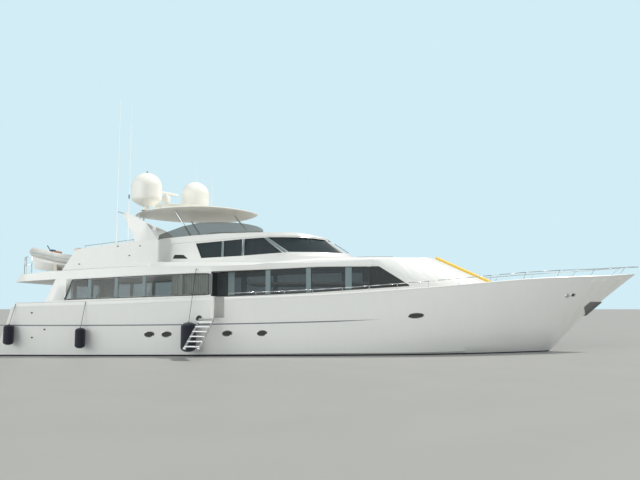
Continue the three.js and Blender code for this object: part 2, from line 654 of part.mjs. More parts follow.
// The aft bulkhead, with a doorway and a pane each side of it.
const PANE_INNER_Y = 760;
const PANE_OUTER_Y = 2560;
const PANE_FOOT_Z = 1500;
const PANE_HEAD_Z = 2960;
function bulkhead() {
  const xs = [BULKHEAD_X, BULKHEAD_X + BULKHEAD_THICK];
  const half = (x) => wallInner(x) - GAP;
  const wall = loftAlong(xs, (x) => [
    [half(x), SOLE_Z + GAP], [half(x), underDeck(x)], [-half(x), underDeck(x)], [-half(x), SOLE_Z + GAP],
  ]);
  const doorway = box(BULKHEAD_X - 10, BULKHEAD_X + BULKHEAD_THICK + 10, -DOOR_HALF_WIDTH, DOOR_HALF_WIDTH,
    SOLE_Z - 10, DOOR_TOP_Z);
  const panes = [[-PANE_OUTER_Y, -PANE_INNER_Y], [PANE_INNER_Y, PANE_OUTER_Y]].map(([y0, y1]) => (
    box(BULKHEAD_X - 10, BULKHEAD_X + BULKHEAD_THICK + 10, y0, y1, PANE_FOOT_Z, PANE_HEAD_Z)));
  const track = box(BULKHEAD_X - 60, BULKHEAD_X, -DOOR_HALF_WIDTH - 40, 3 * DOOR_HALF_WIDTH, DOOR_TOP_Z + 40,
    DOOR_TOP_Z + 90);
  return join(cut(wall, doorway, ...panes), track);
}
add('saloon_bulkhead', WHITE, bulkhead());
addPair('bulkhead_glass', DARK_GLASS, box(BULKHEAD_X + 40, BULKHEAD_X + 60, PANE_INNER_Y + GAP,
  PANE_OUTER_Y - GAP, PANE_FOOT_Z + GAP, PANE_HEAD_Z - GAP));
add('saloon_door', DARK_GLASS, box(BULKHEAD_X - 45, BULKHEAD_X - 6, -DOOR_HALF_WIDTH - 30,
  DOOR_HALF_WIDTH + 30, SOLE_Z + 6, DOOR_TOP_Z + 40 - 2 * GAP));

// Upper deck, trunk and pilothouse

// Rings of the pilothouse plan at height z, drawn in by inset, as a list of points.
const FRONT_ARC_PARTS = 12;
function planRing(z, inset, aftX) {
  const halfWidth = at(PILOTHOUSE_LEVELS.map((row) => ({ ...row, x: row.z })), 'halfWidth', z) - inset;
  const front = at(PILOTHOUSE_LEVELS.map((row) => ({ ...row, x: row.z })), 'frontX', z) - inset;
  const ring = [new THREE.Vector3(aftX, -halfWidth, z)];
  for (let i = 0; i <= FRONT_ARC_PARTS; i += 1) {
    const angle = -Math.PI / 2 + (Math.PI * i) / FRONT_ARC_PARTS;
    ring.push(new THREE.Vector3(PILOTHOUSE_BOW_START_X + (front - PILOTHOUSE_BOW_START_X) * Math.cos(angle),
      halfWidth * Math.sin(angle), z));
  }
  ring.push(new THREE.Vector3(aftX, halfWidth, z));
  return ring;
}

function planSolid(inset, aftX, zs = PILOTHOUSE_LEVELS.map((row) => row.z)) {
  return loft(zs.map((z) => planRing(z, inset, aftX)), (p) => new THREE.Vector2(p.x, p.y));
}

// Everything between two lines of the flybridge table, right across the boat.
function between(lower, upper, x0 = -8000, x1 = 4000) {
  const xs = [x0, ...FLYBRIDGE_LINES.map((row) => row.x), x1];
  const outline = [...xs.map((x) => [x, lower(x)]), ...[...xs].reverse().map((x) => [x, upper(x)])];
  return sidePlate(outline, -FAR_OUT, FAR_OUT);
}
const jointLine = (x) => at(FLYBRIDGE_LINES, 'jointZ', x);
const coamingTop = (x) => at(FLYBRIDGE_LINES, 'topZ', x);

// The opening in the upper deck through which the pilothouse reaches down to its floor.
const WHEELHOUSE_AFT_X = -3200;
const WHEELHOUSE_FRONT_X = 2050;
function upperDeck() {
  const xs = stationsBetween(UPPER_SECTIONS[0].x, CABIN_FRONT_X, UPPER_SECTIONS);
  const deck = loftAlong(xs, (x) => {
    const [y, low, mid, high, slope] = ['edgeY', 'underZ', 'fasciaZ', 'topZ', 'slope'].map((column) => (
      at(UPPER_SECTIONS, column, x)));
    return [[y, low], [y, mid], [y - slope, high], [slope - y, high], [-y, mid], [-y, low]];
  });
  const opening = planRing(PILOTHOUSE_FOOT_Z, 250, WHEELHOUSE_AFT_X).map((p) => (
    [Math.min(p.x, WHEELHOUSE_FRONT_X), p.y]));
  return cut(deck, slab(opening, 3000, ABOVE_ALL));
}
add('upper_deck', WHITE, upperDeck());

// The trunk cabin over the fore cabins, with its brow that stands on the upper deck round the pilothouse.
function trunkSection(x, foot, half) {
  const [side, crown] = [at(TRUNK_ROOF, 'sideZ', x), at(TRUNK_ROOF, 'crownZ', x)];
  const port = [
    [half, foot], [half - 20, side], [half - 200, side + 0.6 * (crown - side)], [0.3 * half, crown],
  ];
  return [...port, ...port.map(([y, z]) => [-y, z]).reverse()];
}
function trunkNose() {
  const ring = ({ z, x }) => {
    const points = [new THREE.Vector3(TRUNK_ROOF[0].x - 100, -NOSE_HALF, z)];
    for (let i = 0; i <= NOSE_PARTS; i += 1) {
      const angle = -Math.PI / 2 + (Math.PI * i) / NOSE_PARTS;
      points.push(new THREE.Vector3(NOSE_START_X + (x - NOSE_START_X) * Math.cos(angle),
        NOSE_HALF * Math.sin(angle), z));
    }
    return [...points, new THREE.Vector3(TRUNK_ROOF[0].x - 100, NOSE_HALF, z)];
  };
  return loft(NOSE_FRONT.map(ring), (p) => new THREE.Vector2(p.x, p.y));
}
const NOSE_PARTS = 40;
const BROW_JOIN = 10;
function trunk() {
  const cabin = loftAlong(stationsBetween(CABIN_FRONT_X + GAP, TRUNK_END_X, DECK_SECTIONS), (x) => (
    trunkSection(x, at(DECK_SECTIONS, 'deckZ', x) + GAP, at(DECK_SECTIONS, 'houseY', x))));
  const brow = loftAlong(stationsBetween(TRUNK_ROOF[0].x, CABIN_FRONT_X + BROW_JOIN, TRUNK_ROOF), (x) => {
    const half = at(UPPER_SECTIONS, 'edgeY', x) - at(UPPER_SECTIONS, 'slope', x);
    return trunkSection(x, PILOTHOUSE_FOOT_Z + GAP, half);
  });
  return cut(join(cabin, brow).intersect(trunkNose()), planSolid(-GAP, PILOTHOUSE_AFT_X));
}
add('trunk', WHITE, trunk());

const FLOOR_Z = 3150;
const FLOOR_THICK = 100;
function pilothouseFloor() {
  const xs = stationsBetween(WHEELHOUSE_AFT_X, CABIN_FRONT_X - HOUSE_WALL, DECK_SECTIONS);
  return loftAlong(xs, (x) => {
    const y = at(DECK_SECTIONS, 'houseY', x) - HOUSE_WALL - GAP;
    return [[y, FLOOR_Z - FLOOR_THICK], [y, FLOOR_Z], [-y, FLOOR_Z], [-y, FLOOR_Z - FLOOR_THICK]];
  });
}
add('pilothouse_floor', OFF_WHITE, pilothouseFloor());

const PILOT_SIDE_PANES = [
  [[-5460, 4840], [-5200, 4190], [-4310, 4240], [-4310, 4955]],
  [[-4230, 4960], [-4230, 4245], [-3420, 4290], [-3420, 5045]],
  [[-3330, 5050], [-3330, 4300], [-1650, 4440], [-2500, 5110]],
];
const WINDSCREEN_OPENING = [[-2320, 5125], [-1380, 4470], [1900, 4520], [900, 5110], [-600, 5150]];
const WINDSCREEN_MULLIONS = [-780, 780];
function pilothouse() {
  const walls = cut(planSolid(0, PILOTHOUSE_AFT_X),
    planSolid(PILOTHOUSE_WALL, PILOTHOUSE_AFT_X + PILOTHOUSE_WALL));
  const below = between(() => PILOTHOUSE_FOOT_Z + GAP, (x) => jointLine(x) - GAP);
  const sides = PILOT_SIDE_PANES.map((outline) => sidePlate(outline, -FAR_OUT, FAR_OUT));
  const mullions = WINDSCREEN_MULLIONS.map((y) => box(-1000, 3000, y - 45, y + 45, 4000, 5500));
  const screen = cut(sidePlate(WINDSCREEN_OPENING, -FAR_OUT, FAR_OUT), ...mullions);
  const entry = box(-7200, -6700, -450, 450, FLY_SOLE_Z - 110, ABOVE_ALL + 1000);
  return cut(walls.intersect(below), ...sides, screen, entry);
}
add('pilothouse', WHITE, pilothouse());

// The panes, as one sheet that lines the inside of the walls.
function pilothouseGlass() {
  const sheet = cut(planSolid(PILOTHOUSE_WALL + GAP, -5560), planSolid(PILOTHOUSE_WALL + 15, -5600));
  return sheet.intersect(between(() => 4150, (x) => jointLine(x) - 20));
}
add('pilothouse_glass', DARK_GLASS, pilothouseGlass());

// Flybridge: the moulded roof and coaming with its sunk well, windscreen, helm and seat.
function flybridge() {
  const plan = planSolid(-35, PILOTHOUSE_AFT_X - 150, [4600, 5120, 5420]);
  const roof = plan.intersect(between((x) => jointLine(x) + GAP, coamingTop));
  const tub = box(FLY_WELL_AFT_X, FLY_WELL_FRONT_X, -FLY_WELL_HALF, FLY_WELL_HALF, FLY_SOLE_Z - FLY_SKIN,
    ABOVE_ALL).intersect(between(() => 4000, (x) => jointLine(x) + 50));
  const well = box(FLY_WELL_AFT_X + FLY_SKIN, FLY_WELL_FRONT_X - FLY_SKIN, FLY_SKIN - FLY_WELL_HALF,
    FLY_WELL_HALF - FLY_SKIN, FLY_SOLE_Z, ABOVE_ALL + 1000);
  const entry = box(-7300, FLY_WELL_AFT_X + 160, -450, 450, FLY_SOLE_Z, ABOVE_ALL + 1000);
  return cut(join(roof, tub), well, entry);
}
add('flybridge', WHITE, flybridge());

// Smoked windscreen round the front of the flybridge.
const FLY_SCREEN_AFT_X = -7150;
const FLY_SCREEN_FRONT_X = -2620;
const FLY_SCREEN_CREST = [
  [-7250, 5020], [-7250, 5180], [-6900, 5337], [-6100, 5637], [-5370, 5797], [-4550, 5820], [-3450, 5800],
  [-2900, 5760], [-2500, 5690], [-2500, 5000],
];
const FLY_SCREEN_HALF = 2060;
const FLY_SCREEN_THICK = 18;
function screenRing(z, inset, aft) {
  const lean = (z - 5000) * 0.12;
  const half = FLY_SCREEN_HALF - lean - inset;
  const [straight, front] = [-4200, FLY_SCREEN_FRONT_X - lean - inset];
  const ring = [new THREE.Vector3(aft, -half, z)];
  for (let i = 0; i <= FRONT_ARC_PARTS; i += 1) {
    const angle = -Math.PI / 2 + (Math.PI * i) / FRONT_ARC_PARTS;
    ring.push(new THREE.Vector3(straight + (front - straight) * Math.cos(angle), half * Math.sin(angle), z));
  }
  ring.push(new THREE.Vector3(aft, half, z));
  return ring;
}
function flyScreen() {
  const wrap = (inset, aft, zs) => (
    loft(zs.map((z) => screenRing(z, inset, aft)), (p) => new THREE.Vector2(p.x, p.y)));
  const skin = cut(wrap(0, FLY_SCREEN_AFT_X, [5000, 5900]),
    wrap(FLY_SCREEN_THICK, FLY_SCREEN_AFT_X - 500, [4900, 6000]));
  const crest = sidePlate(FLY_SCREEN_CREST, -FAR_OUT, FAR_OUT);
  return skin.intersect(crest).intersect(between((x) => coamingTop(x) + GAP, () => 6000));
}
add('fly_windscreen', SMOKED, flyScreen());

function helm() {
  const front = FLY_WELL_FRONT_X - FLY_SKIN - GAP;
  return sidePlate([[-4150, FLY_SOLE_Z + GAP], [-4150, 5050], [-3900, 5300], [front, 5300],
    [front, FLY_SOLE_Z + GAP]], -900, 500);
}
add('fly_helm', OFF_WHITE, helm());
function flySeat() {
  return sidePlate([[-5050, FLY_SOLE_Z + GAP], [-5200, 5450], [-5080, 5460], [-4950, 5080], [-4480, 5060],
    [-4500, FLY_SOLE_Z + GAP]], -900, 500);
}
add('fly_seat', OFF_WHITE, flySeat());

const deckTop = (x) => at(UPPER_SECTIONS, 'topZ', x);

// Steps from the boat deck up to the flybridge.
const UPPER_STEP_X = -7220;
const FLY_STEPS = [{ aft: -7900, top: 4060 }, { aft: -7600, top: 4300 }, { aft: -7300, top: 4545 }];
function flySteps() {
  const front = PILOTHOUSE_AFT_X - GAP;
  const [deckZ, stepZ] = [deckTop(UPPER_STEP_X) + 1, PILOTHOUSE_FOOT_Z + GAP];
  const outline = [[UPPER_STEP_X - GAP, deckZ], [UPPER_STEP_X - GAP, stepZ], [front, stepZ],
    [front, FLY_STEPS[2].top]];
  for (let i = FLY_STEPS.length - 1; i >= 0; i -= 1) {
    outline.push([FLY_STEPS[i].aft, FLY_STEPS[i].top]);
    outline.push([FLY_STEPS[i].aft, i > 0 ? FLY_STEPS[i - 1].top : deckTop(FLY_STEPS[0].aft) + 1]);
  }
  return sidePlate(outline, -430, 430);
}
add('fly_steps', WHITE, flySteps());

// Boat-deck wings, arch and hardtop

const WING_Y = 2780;
const WING_THICK = 130;
const ARCH_SEAT = [[-7950, 4870], [-6950, 4940]];
const onDeck = (x) => [x, deckTop(x) + GAP];
addPair('wing', WHITE, sidePlate([
  onDeck(-11000), onDeck(-11040), [-10490, 4490], [-10180, 4580], ...ARCH_SEAT,
  [-6950, PILOTHOUSE_FOOT_Z + GAP], [UPPER_STEP_X - GAP, PILOTHOUSE_FOOT_Z + GAP],
  onDeck(UPPER_STEP_X - GAP), onDeck(-8500),
], WING_Y, WING_Y + WING_THICK));

const ARCH_TOP_Z = 6150;
const ARCH_LEAN = 0.55;
const ARCH_POST_X = -8500;
const ARCH_POST_RADIUS = 45;
function arch() {
  const outline = [...ARCH_SEAT.map(([x, z]) => [x, z + GAP]), [-7660, 5790], [-7990, 5960], [-8790, 6300],
    [-8240, 5450]];
  const geometry = geometryOf(sidePlate(outline, WING_Y, WING_Y + WING_THICK));
  const position = geometry.attributes.position;
  for (let i = 0; i < position.count; i += 1) {
    position.setY(i, position.getY(i) - Math.max(0, position.getZ(i) - 4940) * ARCH_LEAN);
  }
  const leg = solid(geometry);
  const beamY = WING_Y + WING_THICK - (ARCH_TOP_Z - 4940) * ARCH_LEAN;
  const beam = sidePlate([[-8600, 6020], [-8600, 6160], [-8330, 6060], [-8330, 5900]], -beamY, beamY);
  const seatZ = HARDTOP_UNDER_Z + hardtopTilt(ARCH_POST_X - ARCH_POST_RADIUS) - GAP;
  const posts = [-350, 350].map((y) => (
    bar([ARCH_POST_X, y, ARCH_TOP_Z - 70], [ARCH_POST_X, y, seatZ], ARCH_POST_RADIUS, ARCH_POST_RADIUS, 12)));
  return join(leg, solid(mirrored(geometryOf(leg))), beam, ...posts);
}
// The hardtop is widest at HARDTOP_X and rises forward; its heights are those at HARDTOP_MIDDLE_X.
const HARDTOP_X = -5450;
const HARDTOP_AFT_REACH = 3330;
const HARDTOP_FORWARD_REACH = 2490;
const HARDTOP_MIDDLE_X = -5870;
const HARDTOP_HALF_WIDTH = 2850;
const HARDTOP_UNDER_Z = 6360;
const HARDTOP_RIM_Z = 6430;
const HARDTOP_CROWN_Z = 6520;
const hardtopTilt = (x) => 0.012 * (x - HARDTOP_MIDDLE_X);
add('arch', WHITE, arch());

// The radomes, each on a post of its own radius.
const DOMES = [
  { name: 'dome_starboard', x: -7920, y: -1350, foot: 6616, post: 110 },
  { name: 'dome_port', x: -6220, y: 1350, foot: 6700, post: 230 },
];
const DOME_RADIUS = 655;
const DOME_CONE_RISE = 330;
const DOME_SHELL_RISE = 895;

// The radar's arm, from a pylon on the hardtop aft to the mast.
const ARM_AFT_X = -7950;
const ARM_FRONT_X = -6250;
const ARM_AFT_UNDER_Z = 6800;
const ARM_UNDER_Z = 6870;
const ARM_TOP_Z = 6950;
const RADAR_X = -7350;
const RADAR_MAST_TOP_Z = 7330;

// Each strut's foot and head; those off the centreline have a twin on the other side.
const STRUTS = [
  { foot: [-5720, 1935, 5150], head: [-6510, 1800, 6400] },
  { foot: [-3200, 0, 5240], head: [-4100, 0, 6420] },
];

function hardtopRoof() {
  const profile = [
    [0, HARDTOP_UNDER_Z], [0.96, HARDTOP_UNDER_Z], [1, HARDTOP_RIM_Z - 35], [0.985, HARDTOP_RIM_Z],
    [0.8, HARDTOP_RIM_Z + 40], [0.4, HARDTOP_CROWN_Z - 15], [0, HARDTOP_CROWN_Z],
  ];
  const geometry = new THREE.LatheGeometry(profile.map(([r, z]) => new THREE.Vector2(r, z)), 48);
  geometry.rotateX(Math.PI / 2);
  const position = geometry.attributes.position;
  // A round plan drawn out to a pointed one, with half-width as the 0.7th power of (1 - x²).
  for (let i = 0; i < position.count; i += 1) {
    const [x, y] = [position.getX(i), position.getY(i)];
    const side = Math.abs(y) / Math.max(Math.hypot(x, y), 1e-6);
    const along = HARDTOP_X + (x < 0 ? HARDTOP_AFT_REACH : HARDTOP_FORWARD_REACH) * x;
    position.setXYZ(i, along, HARDTOP_HALF_WIDTH * y * side ** 0.4, position.getZ(i) + hardtopTilt(along));
  }
  return solid(geometry);
}

function hardtop() {
  const posts = DOMES.map(({ x, y, foot, post }) => (
    bar([x, y, HARDTOP_RIM_Z - 30], [x, y, foot - GAP], post, post, 16)));
  const pylon = loftAlong([ARM_FRONT_X - 600, ARM_FRONT_X], () => [
    [140, HARDTOP_RIM_Z], [90, ARM_UNDER_Z + 40], [-90, ARM_UNDER_Z + 40], [-140, HARDTOP_RIM_Z]]);
  const arm = loftAlong([ARM_AFT_X, ARM_FRONT_X], (x) => {
    const [half, under] = x === ARM_AFT_X ? [70, ARM_AFT_UNDER_Z] : [140, ARM_UNDER_Z];
    return [[half, under], [half, ARM_TOP_Z], [-half, ARM_TOP_Z], [-half, under]];
  });
  const struts = STRUTS.flatMap(({ foot, head }) => (foot[1] === 0 ? [1] : [1, -1]).map((side) => (
    bar([foot[0], side * foot[1], foot[2]], [head[0], side * head[1], head[2]], 38, 38, 10))));
  return join(hardtopRoof(), pylon, arm, ...posts, ...struts);
}
add('hardtop', OFF_WHITE, cut(hardtop(), between(() => 4000, (x) => coamingTop(x) + GAP)));

for (const { name, x, y, foot } of DOMES) {
  const crown = [20, 40, 60, 75].map((degrees) => {
    const a = THREE.MathUtils.degToRad(degrees);
    return [DOME_RADIUS * Math.cos(a), foot + DOME_SHELL_RISE + DOME_RADIUS * Math.sin(a)];
  });
  add(name, WHITE, turned([[0, foot], [240, foot], [610, foot + DOME_CONE_RISE - 50],
    [DOME_RADIUS, foot + DOME_CONE_RISE], [DOME_RADIUS, foot + DOME_SHELL_RISE], ...crown,
    [0, foot + DOME_SHELL_RISE + DOME_RADIUS]], x, y));
}

// Open-array radar on its mast.
const SCANNER_LENGTH = 1560;
const SCANNER_TURN = THREE.MathUtils.degToRad(32);
const HOUSING_FOOT_Z = 7030;
const mastBar = (low, high, ...radii) => bar([RADAR_X, 0, low], [RADAR_X, 0, high], ...radii, 16);
add('radar_mast', WHITE, join(mastBar(ARM_TOP_Z + GAP, HOUSING_FOOT_Z + 20, 90, 80),
  mastBar(HOUSING_FOOT_Z, RADAR_MAST_TOP_Z, 190, 175)));
function scanner() {
  const geometry = new THREE.BoxGeometry(110, SCANNER_LENGTH, 120);
  geometry.rotateZ(-SCANNER_TURN);
  geometry.translate(RADAR_X, 0, RADAR_MAST_TOP_Z + 130);
  return join(solid(geometry), mastBar(RADAR_MAST_TOP_Z + 2 * GAP, RADAR_MAST_TOP_Z + 90, 90, 90));
}
add('radar_scanner', WHITE, scanner());

// Whip aerials on the starboard wing.
const WHIPS = [
  { name: 'whip_aft', x: -8750, foot: 4770, tip: 11060 },
  { name: 'whip_forward', x: -8250, foot: 4835, tip: 10960 },
];
const WHIP_BASE_HEIGHT = 80;
for (const { name, x, foot, tip } of WHIPS) {
  const y = -(WING_Y + WING_THICK + 20);
  add(name, WHITE, join(bar([x, y, foot], [x, y, tip], 19, 8),
    box(x - 25, x + 25, y - 20, -(WING_Y + WING_THICK) - GAP, foot, foot + WHIP_BASE_HEIGHT)));
}

// Running gear

function propeller(y) {
  const blade = (turn) => {
    const sections = [{ r: 60, chord: 200, pitch: 55 }, { r: 200, chord: 290, pitch: 38 },
      { r: 360, chord: 330, pitch: 25 }, { r: PROPELLER_RADIUS, chord: 120, pitch: 20 }];
    const rings = sections.map(({ r, chord, pitch }) => {
      const a = THREE.MathUtils.degToRad(pitch);
      const along = [Math.sin(a) * chord * 0.5, Math.cos(a) * chord * 0.5];
      const across = [Math.cos(a) * 11, -Math.sin(a) * 11];
      return [[1, 0], [0, 1], [-1, 0], [0, -1]].map(([u, v]) => (
        new THREE.Vector3(u * along[0] + v * across[0], u * along[1] + v * across[1], r)));
    });
    const geometry = geometryOf(loft(rings, (p) => new THREE.Vector2(p.x, p.y)));
    return solid(geometry.applyMatrix4(new THREE.Matrix4().makeRotationX(turn)));
  };
  const blades = [0, 1, 2, 3].map((i) => blade((i * Math.PI) / 2));
  const geometry = geometryOf(join(bar([-150, 0, 0], [150, 0, 0], 70, 95, 12), ...blades));
  geometry.rotateY(-SHAFT_ANGLE);
  geometry.translate(PROPELLER_X, y, PROPELLER_Z);
  return solid(geometry);
}
addPair('propeller', BRONZE, propeller(SHAFT_Y));

// A shaft tube with its bracket, from just ahead of the propeller up into the hull.
const BRACKET_START = 170;
function shaftTube() {
  const tube = bar(shaftPoint(150.6), shaftPoint(SHAFT_LENGTH), SHAFT_RADIUS, SHAFT_RADIUS, 8);
  const barrel = bar(shaftPoint(BRACKET_START), shaftPoint(BRACKET_START + 320), 90, 90, 12);
  const [x, , z] = shaftPoint(BRACKET_START + 160);
  const arms = [-260, 260].map((dy) => bar([x, SHAFT_Y, z], [x, SHAFT_Y + dy, -350], 34, 34, 6));
  return join(tube, cut(join(barrel, ...arms), moved(hullBody, 0, 0, -GAP)));
}
addPair('shaft', BRONZE, shaftTube());

function rudder() {
  const blade = sidePlate([[RUDDER_X - 420, -760], [RUDDER_X + 250, -760], [RUDDER_X + 200, -1640],
    [RUDDER_X - 340, -1640]], SHAFT_Y - 30, SHAFT_Y + 30);
  return join(blade, bar([RUDDER_X, SHAFT_Y, -1000], [RUDDER_X, SHAFT_Y, RUDDER_HEAD_Z - 120.6],
    RUDDER_STOCK_RADIUS, RUDDER_STOCK_RADIUS, 12));
}
addPair('rudder', ANTIFOULING, rudder());

// Side gates

const LEAF_START = 15;
const LEAF_END = 485;
const LEAF_NEAR = 42;
const LEAF_FAR = 100;
const SILL_CLEARANCE = 12;
function gateLeaf() {
  const top = capTop(GATE_AFT_X) - 5;
  const [x, y] = [GATE_HINGE_X, GATE_HINGE_Y];
  const leaf = box(x + LEAF_START, x + LEAF_END, y - LEAF_FAR, y - LEAF_NEAR, GATE_SILL_Z + SILL_CLEARANCE,
    top);
  const knuckles = GATE_HINGE_HEIGHTS.map((z) => join(
    bar([x, y, z + HINGE_BARREL + 0.6], [x, y, z + 2 * HINGE_BARREL], HINGE_RADIUS),
    box(x + 11, x + LEAF_START + 60, y - LEAF_NEAR - 20, y + 8, z + HINGE_BARREL + 0.6,
      z + 2 * HINGE_BARREL)));
  return join(leaf, ...knuckles);
}
// The starboard gate stands open, swung out square to the side; the port one is shut.
const leafBody = gateLeaf();
add('gate_port', WHITE, leafBody);
const openLeaf = mirrored(geometryOf(leafBody));
openLeaf.translate(-GATE_HINGE_X, GATE_HINGE_Y, 0);
openLeaf.rotateZ(-Math.PI / 2);
openLeaf.translate(GATE_HINGE_X, -GATE_HINGE_Y, 0);
add('gate_starboard', WHITE, solid(openLeaf));

// Boarding steps hung outside the starboard gate, with their foot skewed aft.
const STEPS_FOOT_Y = -5200;
const STEPS_FOOT_Z = 470;
const STEPS_SKEW = THREE.MathUtils.degToRad(8);
const STRINGER_HALF = 22;
const TREADS = 6;
function boardingSteps() {
  const [topY, topZ] = [STEPS_HINGE_Y - 30, STEPS_HINGE_Z];
  const stringer = (x) => {
    const rings = [x - STRINGER_HALF, x + STRINGER_HALF].map((px) => [[topY, topZ - 60], [topY, topZ + 40],
      [STEPS_FOOT_Y, STEPS_FOOT_Z + 60], [STEPS_FOOT_Y, STEPS_FOOT_Z - 40],
    ].map(([y, z]) => new THREE.Vector3(px, y, z)));
    return loft(rings);
  };
  const treads = [];
  for (let i = 0; i < TREADS; i += 1) {
    const t = (i + 0.7) / TREADS;
    const [y, z] = [topY + (STEPS_FOOT_Y - topY) * t, topZ + (STEPS_FOOT_Z - topZ) * t];
    treads.push(box(-STEPS_HALF_WIDTH + 10, STEPS_HALF_WIDTH - 10, y - 130, y + 130, z - 5, z + 40));
  }
  const wheels = [-1, 1].map((side) => bar([side * (STEPS_HALF_WIDTH - 60), STEPS_FOOT_Y, STEPS_FOOT_Z],
    [side * (STEPS_HALF_WIDTH + 30), STEPS_FOOT_Y, STEPS_FOOT_Z], 60, 60, 14));
  const stringers = [-1, 1].map((side) => stringer(side * (STEPS_HALF_WIDTH + 15 - STRINGER_HALF)));
  const geometry = geometryOf(join(...stringers, ...treads, ...wheels));
  geometry.translate(0, -STEPS_HINGE_Y, 0);
  geometry.rotateZ(-STEPS_SKEW);
  geometry.translate(STEPS_X, STEPS_HINGE_Y, 0);
  const pinHalf = STEPS_HALF_WIDTH + 25 - 2 * GAP;
  const pin = bar([STEPS_X - pinHalf, STEPS_HINGE_Y, STEPS_HINGE_Z],
    [STEPS_X + pinHalf, STEPS_HINGE_Y, STEPS_HINGE_Z], STEPS_PIN);
  const hangers = [-1, 1].map((side) => box(STEPS_X + side * 250 - 25, STEPS_X + side * 250 + 25,
    STEPS_HINGE_Y - 90, STEPS_HINGE_Y, STEPS_HINGE_Z - 20, STEPS_HINGE_Z + 20));
  return join(solid(geometry), pin, ...hangers);
}
add('boarding_steps', ALUMINIUM, boardingSteps());

// Fenders hanging along the starboard side
const LINE_RADIUS = 8;
const EYE_HALF = 14;
const FENDERS = [
  { name: 'fender_aft', x: -13080, radius: 210, top: 1330, foot: 480,
    lineX: -12900, lineTop: 2160, reach: 12 },
  { name: 'fender_middle', x: -10020, radius: 210, top: 1200, foot: 350,
    lineX: -9890, lineTop: 2260, reach: 12 },
  { name: 'fender_forward', x: -5460, radius: 320, top: 1440, foot: 210,
    lineX: -5240, lineTop: 3650, reach: 150 },
];
// The outer face, at this place and height, that a fender's line is made fast to.
function lineSeatY(x, z) {
  const onFascia = z > at(UPPER_SECTIONS, 'underZ', x);
  return onFascia ? at(UPPER_SECTIONS, 'edgeY', x) : at(HULL, 'sheerY', x) + CAP_PROUD;
}
for (const { name, x, radius, top, foot, lineX, lineTop, reach } of FENDERS) {
  const y = -(at(HULL, 'knuckleY', x) + radius + 14);
  const round = (sign, z) => [0, 30, 60].map((degrees) => {
    const a = THREE.MathUtils.degToRad(degrees);
    return [radius * Math.cos(a), z + sign * radius * 0.6 * Math.sin(a)];
  });
  const [low, high] = [round(-1, foot + radius * 0.6).reverse(), round(1, top - radius * 0.6)];
  const body = turned([[0, foot], ...low, ...high, [0, top]], x, y, 16);
  const seatY = -(Math.max(...[-1, 1].map((end) => lineSeatY(lineX + end * EYE_HALF, lineTop))) + GAP);
  const eye = box(lineX - EYE_HALF, lineX + EYE_HALF, seatY - reach, seatY, lineTop - EYE_HALF,
    lineTop + EYE_HALF);
  const line = bar([x, y, top - 30], [lineX, seatY - reach, lineTop], LINE_RADIUS, LINE_RADIUS, 6);
  add(name, NAVY, join(body, line, eye));
}

// Rails

// Straight six-sided bars from point to point.
function barsThrough(route, radius) {
  return route.slice(1).map((p, i) => bar(route[i], p, radius, radius, 6));
}

const RAIL_RADIUS = 16;
const POST_RADIUS = 11;
const RAIL_POSTS_X = [
  -3850, -2700, -1500, -300, 950, 2100, 3280, 4630, 5980, 7400, 9000, 10680, 12530, 14300,
];
const railHeight = (x) => 160 + (170 * (x + 3850)) / 18250;
// How far a post's foot stands aft of its head.
const postLean = (x) => 25 + 375 * Math.max(0, (x - 3300) / 11000) ** 2;
const railY = (x) => at(HULL, 'sheerY', x) - 50;
function bowRail() {
  const side = RAIL_POSTS_X.map((x) => [x, railY(x), capTop(x) + railHeight(x)]);
  const half = [...side, [14800, 190, 3930], [15000, 90, 3935], [15050, 0, 3935]];
  const route = [...half, ...half.slice(0, -1).reverse().map(([x, y, z]) => [x, -y, z])];
  const spans = barsThrough(route, RAIL_RADIUS);
  const posts = RAIL_POSTS_X.flatMap((x) => [1, -1].map((s) => {
    const footX = x - postLean(x);
    return bar([footX, s * railY(footX), capTop(footX) - 15], [x, s * railY(x), capTop(x) + railHeight(x)],
      POST_RADIUS, POST_RADIUS, 4);
  }));
  return cut(join(...spans, ...posts), moved(capForward, 0, 0, GAP), moved(capAft, 0, 0, GAP));
}
add('bow_rail', STAINLESS, bowRail());

// Rails round the after end of the boat deck.
const DECK_RAIL_POSTS = [[-11150, 2760], [-11950, 2740], [-12680, 2660]];
const SHORT_RAIL_POSTS = [[-12420, 2720], [-12680, 2660]];
const DECK_RAIL_AFT_X = -12850;
const DECK_RAIL_LEVELS = [380, 740];
function deckRail(beside, across) {
  const posts = [...beside, ...across.map((y) => [DECK_RAIL_AFT_X, y])];
  const height = (level) => ([x, y]) => [x, y, deckTop(x) + level];
  const bars = DECK_RAIL_LEVELS.flatMap((level) => barsThrough(posts.map(height(level)), RAIL_RADIUS - 2));
  const uprights = posts.map((p) => (
    bar(height(1.5)(p), height(DECK_RAIL_LEVELS[1])(p), RAIL_RADIUS, RAIL_RADIUS, 6)));
  return join(...uprights, ...bars);
}
add('deck_rail_port', STAINLESS, deckRail(DECK_RAIL_POSTS, [2440, 1300, 0]));
add('deck_rail_starboard', STAINLESS, solid(mirrored(geometryOf(deckRail(SHORT_RAIL_POSTS, [2440])))));

// Tender on the boat deck, its bow aft

